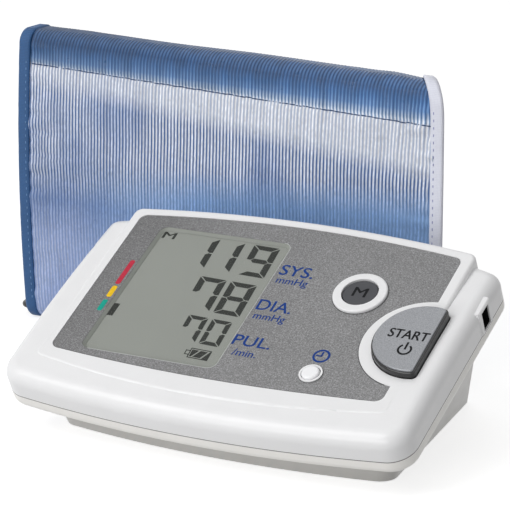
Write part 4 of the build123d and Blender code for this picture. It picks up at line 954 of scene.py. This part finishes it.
FINISHES = {
    "upper_housing": moulded("housing_white", (237, 237, 238), rough=0.32, coat=0.12, mottle=0.012,
                             grain=0.02, painted_base_shade=1.0),
    # painted shade: its base below the rim darkened to 0.74 of the colour
    "lower_housing": moulded("housing_lower_painted_shade", (246, 244, 240), rough=0.34, mottle=0.015,
                             grain=0.08, painted_base_shade=0.74),
    "start_button": moulded("key_black", (17, 18, 20), rough=0.24, coat=0.12, mottle=0.1,
                            grain=0.04),
    "set_button": moulded("set_key_white", (246, 246, 248), rough=0.28, coat=0.2, mottle=0.01,
                          grain=0.02),
    "cuff_ring": moulded("ring_black", (12, 12, 14), rough=0.3, coat=0.2, mottle=0.1),
    "air_socket": moulded("socket_grey", (150, 151, 154), rough=0.45, mottle=0.04),
    "start_button_face": start_metal(), "panel_overlay": panel_lacquer(),
    "lcd_window": clear_window(), "lcd_module": display_grey, "dc_jack": jack_black,
    "memory_button": key_rubber, "battery_cover": cover_grey, "rubber_pads": pad_rubber,
    "main_board": board_green, "pump_cushion": foam, "lcd_holder": natural, "air_manifold": natural,
    "cuff_hose_port": port_grey, "cuff_bladder": port_grey, "housing_screws": plated,
    "board_screws": plated, "battery_contacts": plated, "pump_motor": plated, "air_valve": plated,
    "zebra_strips": black_matte, "key_switches": black_matte, "board_components": black_matte,
    "buzzer": black_matte, "pump_head": black_matte, "pressure_sensor": black_matte,
    "cuff_hook_patch": black_matte}
FINISHES.update((f"battery_{k}", sleeve) for k in range(1, 5))
FINISHES.update((f"air_tube_{end}", silicone) for end in ("pump", "valve", "sensor", "socket"))
for name, finish in FINISHES.items():
    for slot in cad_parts[name].material_slots:
        slot.material = finish

# ---------------------------------------------------------------- floor, light and camera
# strength of the world on the object, and as the camera and mirrors see it
WORLD_LIGHT, WORLD_SEEN = 0.33, 1.0
FLOOR_GREY, FLOOR_GLOW = 0.60, 0.70
FLOOR_HALF, FLOOR_DROP = 6.0, 0.0002
# name, place, aim, width, height, watts
SOFTBOXES = (
    ("key", (-0.55, -1.00, 0.95), (-0.02, 0.0, 0.04), 0.9, 0.9, 8.7),
    ("front_low", (-0.25, -1.60, 0.24), (-0.05, 0.05, 0.05), 1.2, 0.5, 6.8),
    ("top", (0.0, 0.1, 1.5), (-0.03, 0.0, 0.03), 1.2, 1.2, 4.0))
# the camera fitted to the photograph: lens in pixels of its width, axes and place
LENS_PIXELS, PHOTO_PIXELS, SENSOR_WIDTH = 2516.0, 510.0, 36.0
CAMERA_RIGHT = Vector((0.8788, 0.4772, 0.0))
CAMERA_DOWN = Vector((0.1267, -0.2334, -0.9641))
CAMERA_FORWARD = Vector((-0.4600, 0.8473, -0.2656))
CAMERA_PLACE = (0.37485, -0.70236, 0.27648)
CLIP_NEAR, CLIP_FAR = 0.05, 20.0


def direct_rays(tree):
    """1 for rays from the camera, and for those that a mirror or glass sends on; 0 for light."""
    paths = tree.nodes.new("ShaderNodeLightPath")
    total = paths.outputs["Is Camera Ray"]
    for name in ("Is Glossy Ray", "Is Transmission Ray"):
        add = tree.nodes.new("ShaderNodeMath")
        add.operation = "ADD"
        add.use_clamp = True
        tree.links.new(total, add.inputs[0])
        tree.links.new(paths.outputs[name], add.inputs[1])
        total = add.outputs[0]
    return total


def studio_world():
    """White as the camera sees it, and soft light on the object."""
    world = bpy.data.worlds.new("studio")
    world.use_nodes = True
    tree = world.node_tree
    background = tree.nodes["Background"]
    background.inputs["Color"].default_value = (1, 1, 1, 1)
    seen = tree.nodes.new("ShaderNodeMapRange")
    seen.inputs["To Min"].default_value = WORLD_LIGHT
    seen.inputs["To Max"].default_value = WORLD_SEEN
    tree.links.new(direct_rays(tree), seen.inputs["Value"])
    tree.links.new(seen.outputs["Result"], background.inputs["Strength"])
    return world


def floor_material():
    """Pale floor that takes the object's shadow and shows white."""
    mat = bpy.data.materials.new("floor_white")
    mat.use_nodes = True
    nodes, links = mat.node_tree.nodes, mat.node_tree.links
    nodes.clear()
    out = nodes.new("ShaderNodeOutputMaterial")
    diffuse = nodes.new("ShaderNodeBsdfDiffuse")
    diffuse.inputs["Color"].default_value = (FLOOR_GREY, FLOOR_GREY, FLOOR_GREY, 1)
    glow = nodes.new("ShaderNodeEmission")
    amount = nodes.new("ShaderNodeMath")
    amount.operation = "MULTIPLY"
    amount.inputs[1].default_value = FLOOR_GLOW
    links.new(direct_rays(mat.node_tree), amount.inputs[0])
    links.new(amount.outputs[0], glow.inputs["Strength"])
    both = nodes.new("ShaderNodeAddShader")
    links.new(diffuse.outputs[0], both.inputs[0])
    links.new(glow.outputs[0], both.inputs[1])
    links.new(both.outputs[0], out.inputs["Surface"])
    return mat


def softbox(name, at, target, width, height, power):
    data = bpy.data.lights.new(name, "AREA")
    data.shape = "RECTANGLE"
    data.size, data.size_y = width, height
    data.energy = power
    lamp = add_object(name, data)
    lamp.location = at
    lamp.rotation_euler = (Vector(target) - Vector(at)).to_track_quat("-Z", "Y").to_euler()


bpy.context.scene.world = studio_world()
floor_mesh = bpy.data.meshes.new("floor")
floor_corners = [(a * FLOOR_HALF, b * FLOOR_HALF, 0)
                 for a, b in ((-1, -1), (1, -1), (1, 1), (-1, 1))]
floor_mesh.from_pydata(floor_corners, [], [(0, 1, 2, 3)])
floor_mesh.materials.append(floor_material())
floor = add_object("floor", floor_mesh)
floor.location.z = -FLOOR_DROP
for row in SOFTBOXES:
    softbox(*row)

camera = add_object("camera", bpy.data.cameras.new("camera"))
bpy.context.scene.camera = camera
camera.data.lens = LENS_PIXELS / PHOTO_PIXELS * SENSOR_WIDTH
camera.data.sensor_width = SENSOR_WIDTH
camera.data.clip_start, camera.data.clip_end = CLIP_NEAR, CLIP_FAR
turn = Matrix((CAMERA_RIGHT, -CAMERA_DOWN, -CAMERA_FORWARD)).transposed().to_4x4()
camera.matrix_world = Matrix.Translation(CAMERA_PLACE) @ turn
bpy.context.scene.view_settings.view_transform = "Standard"
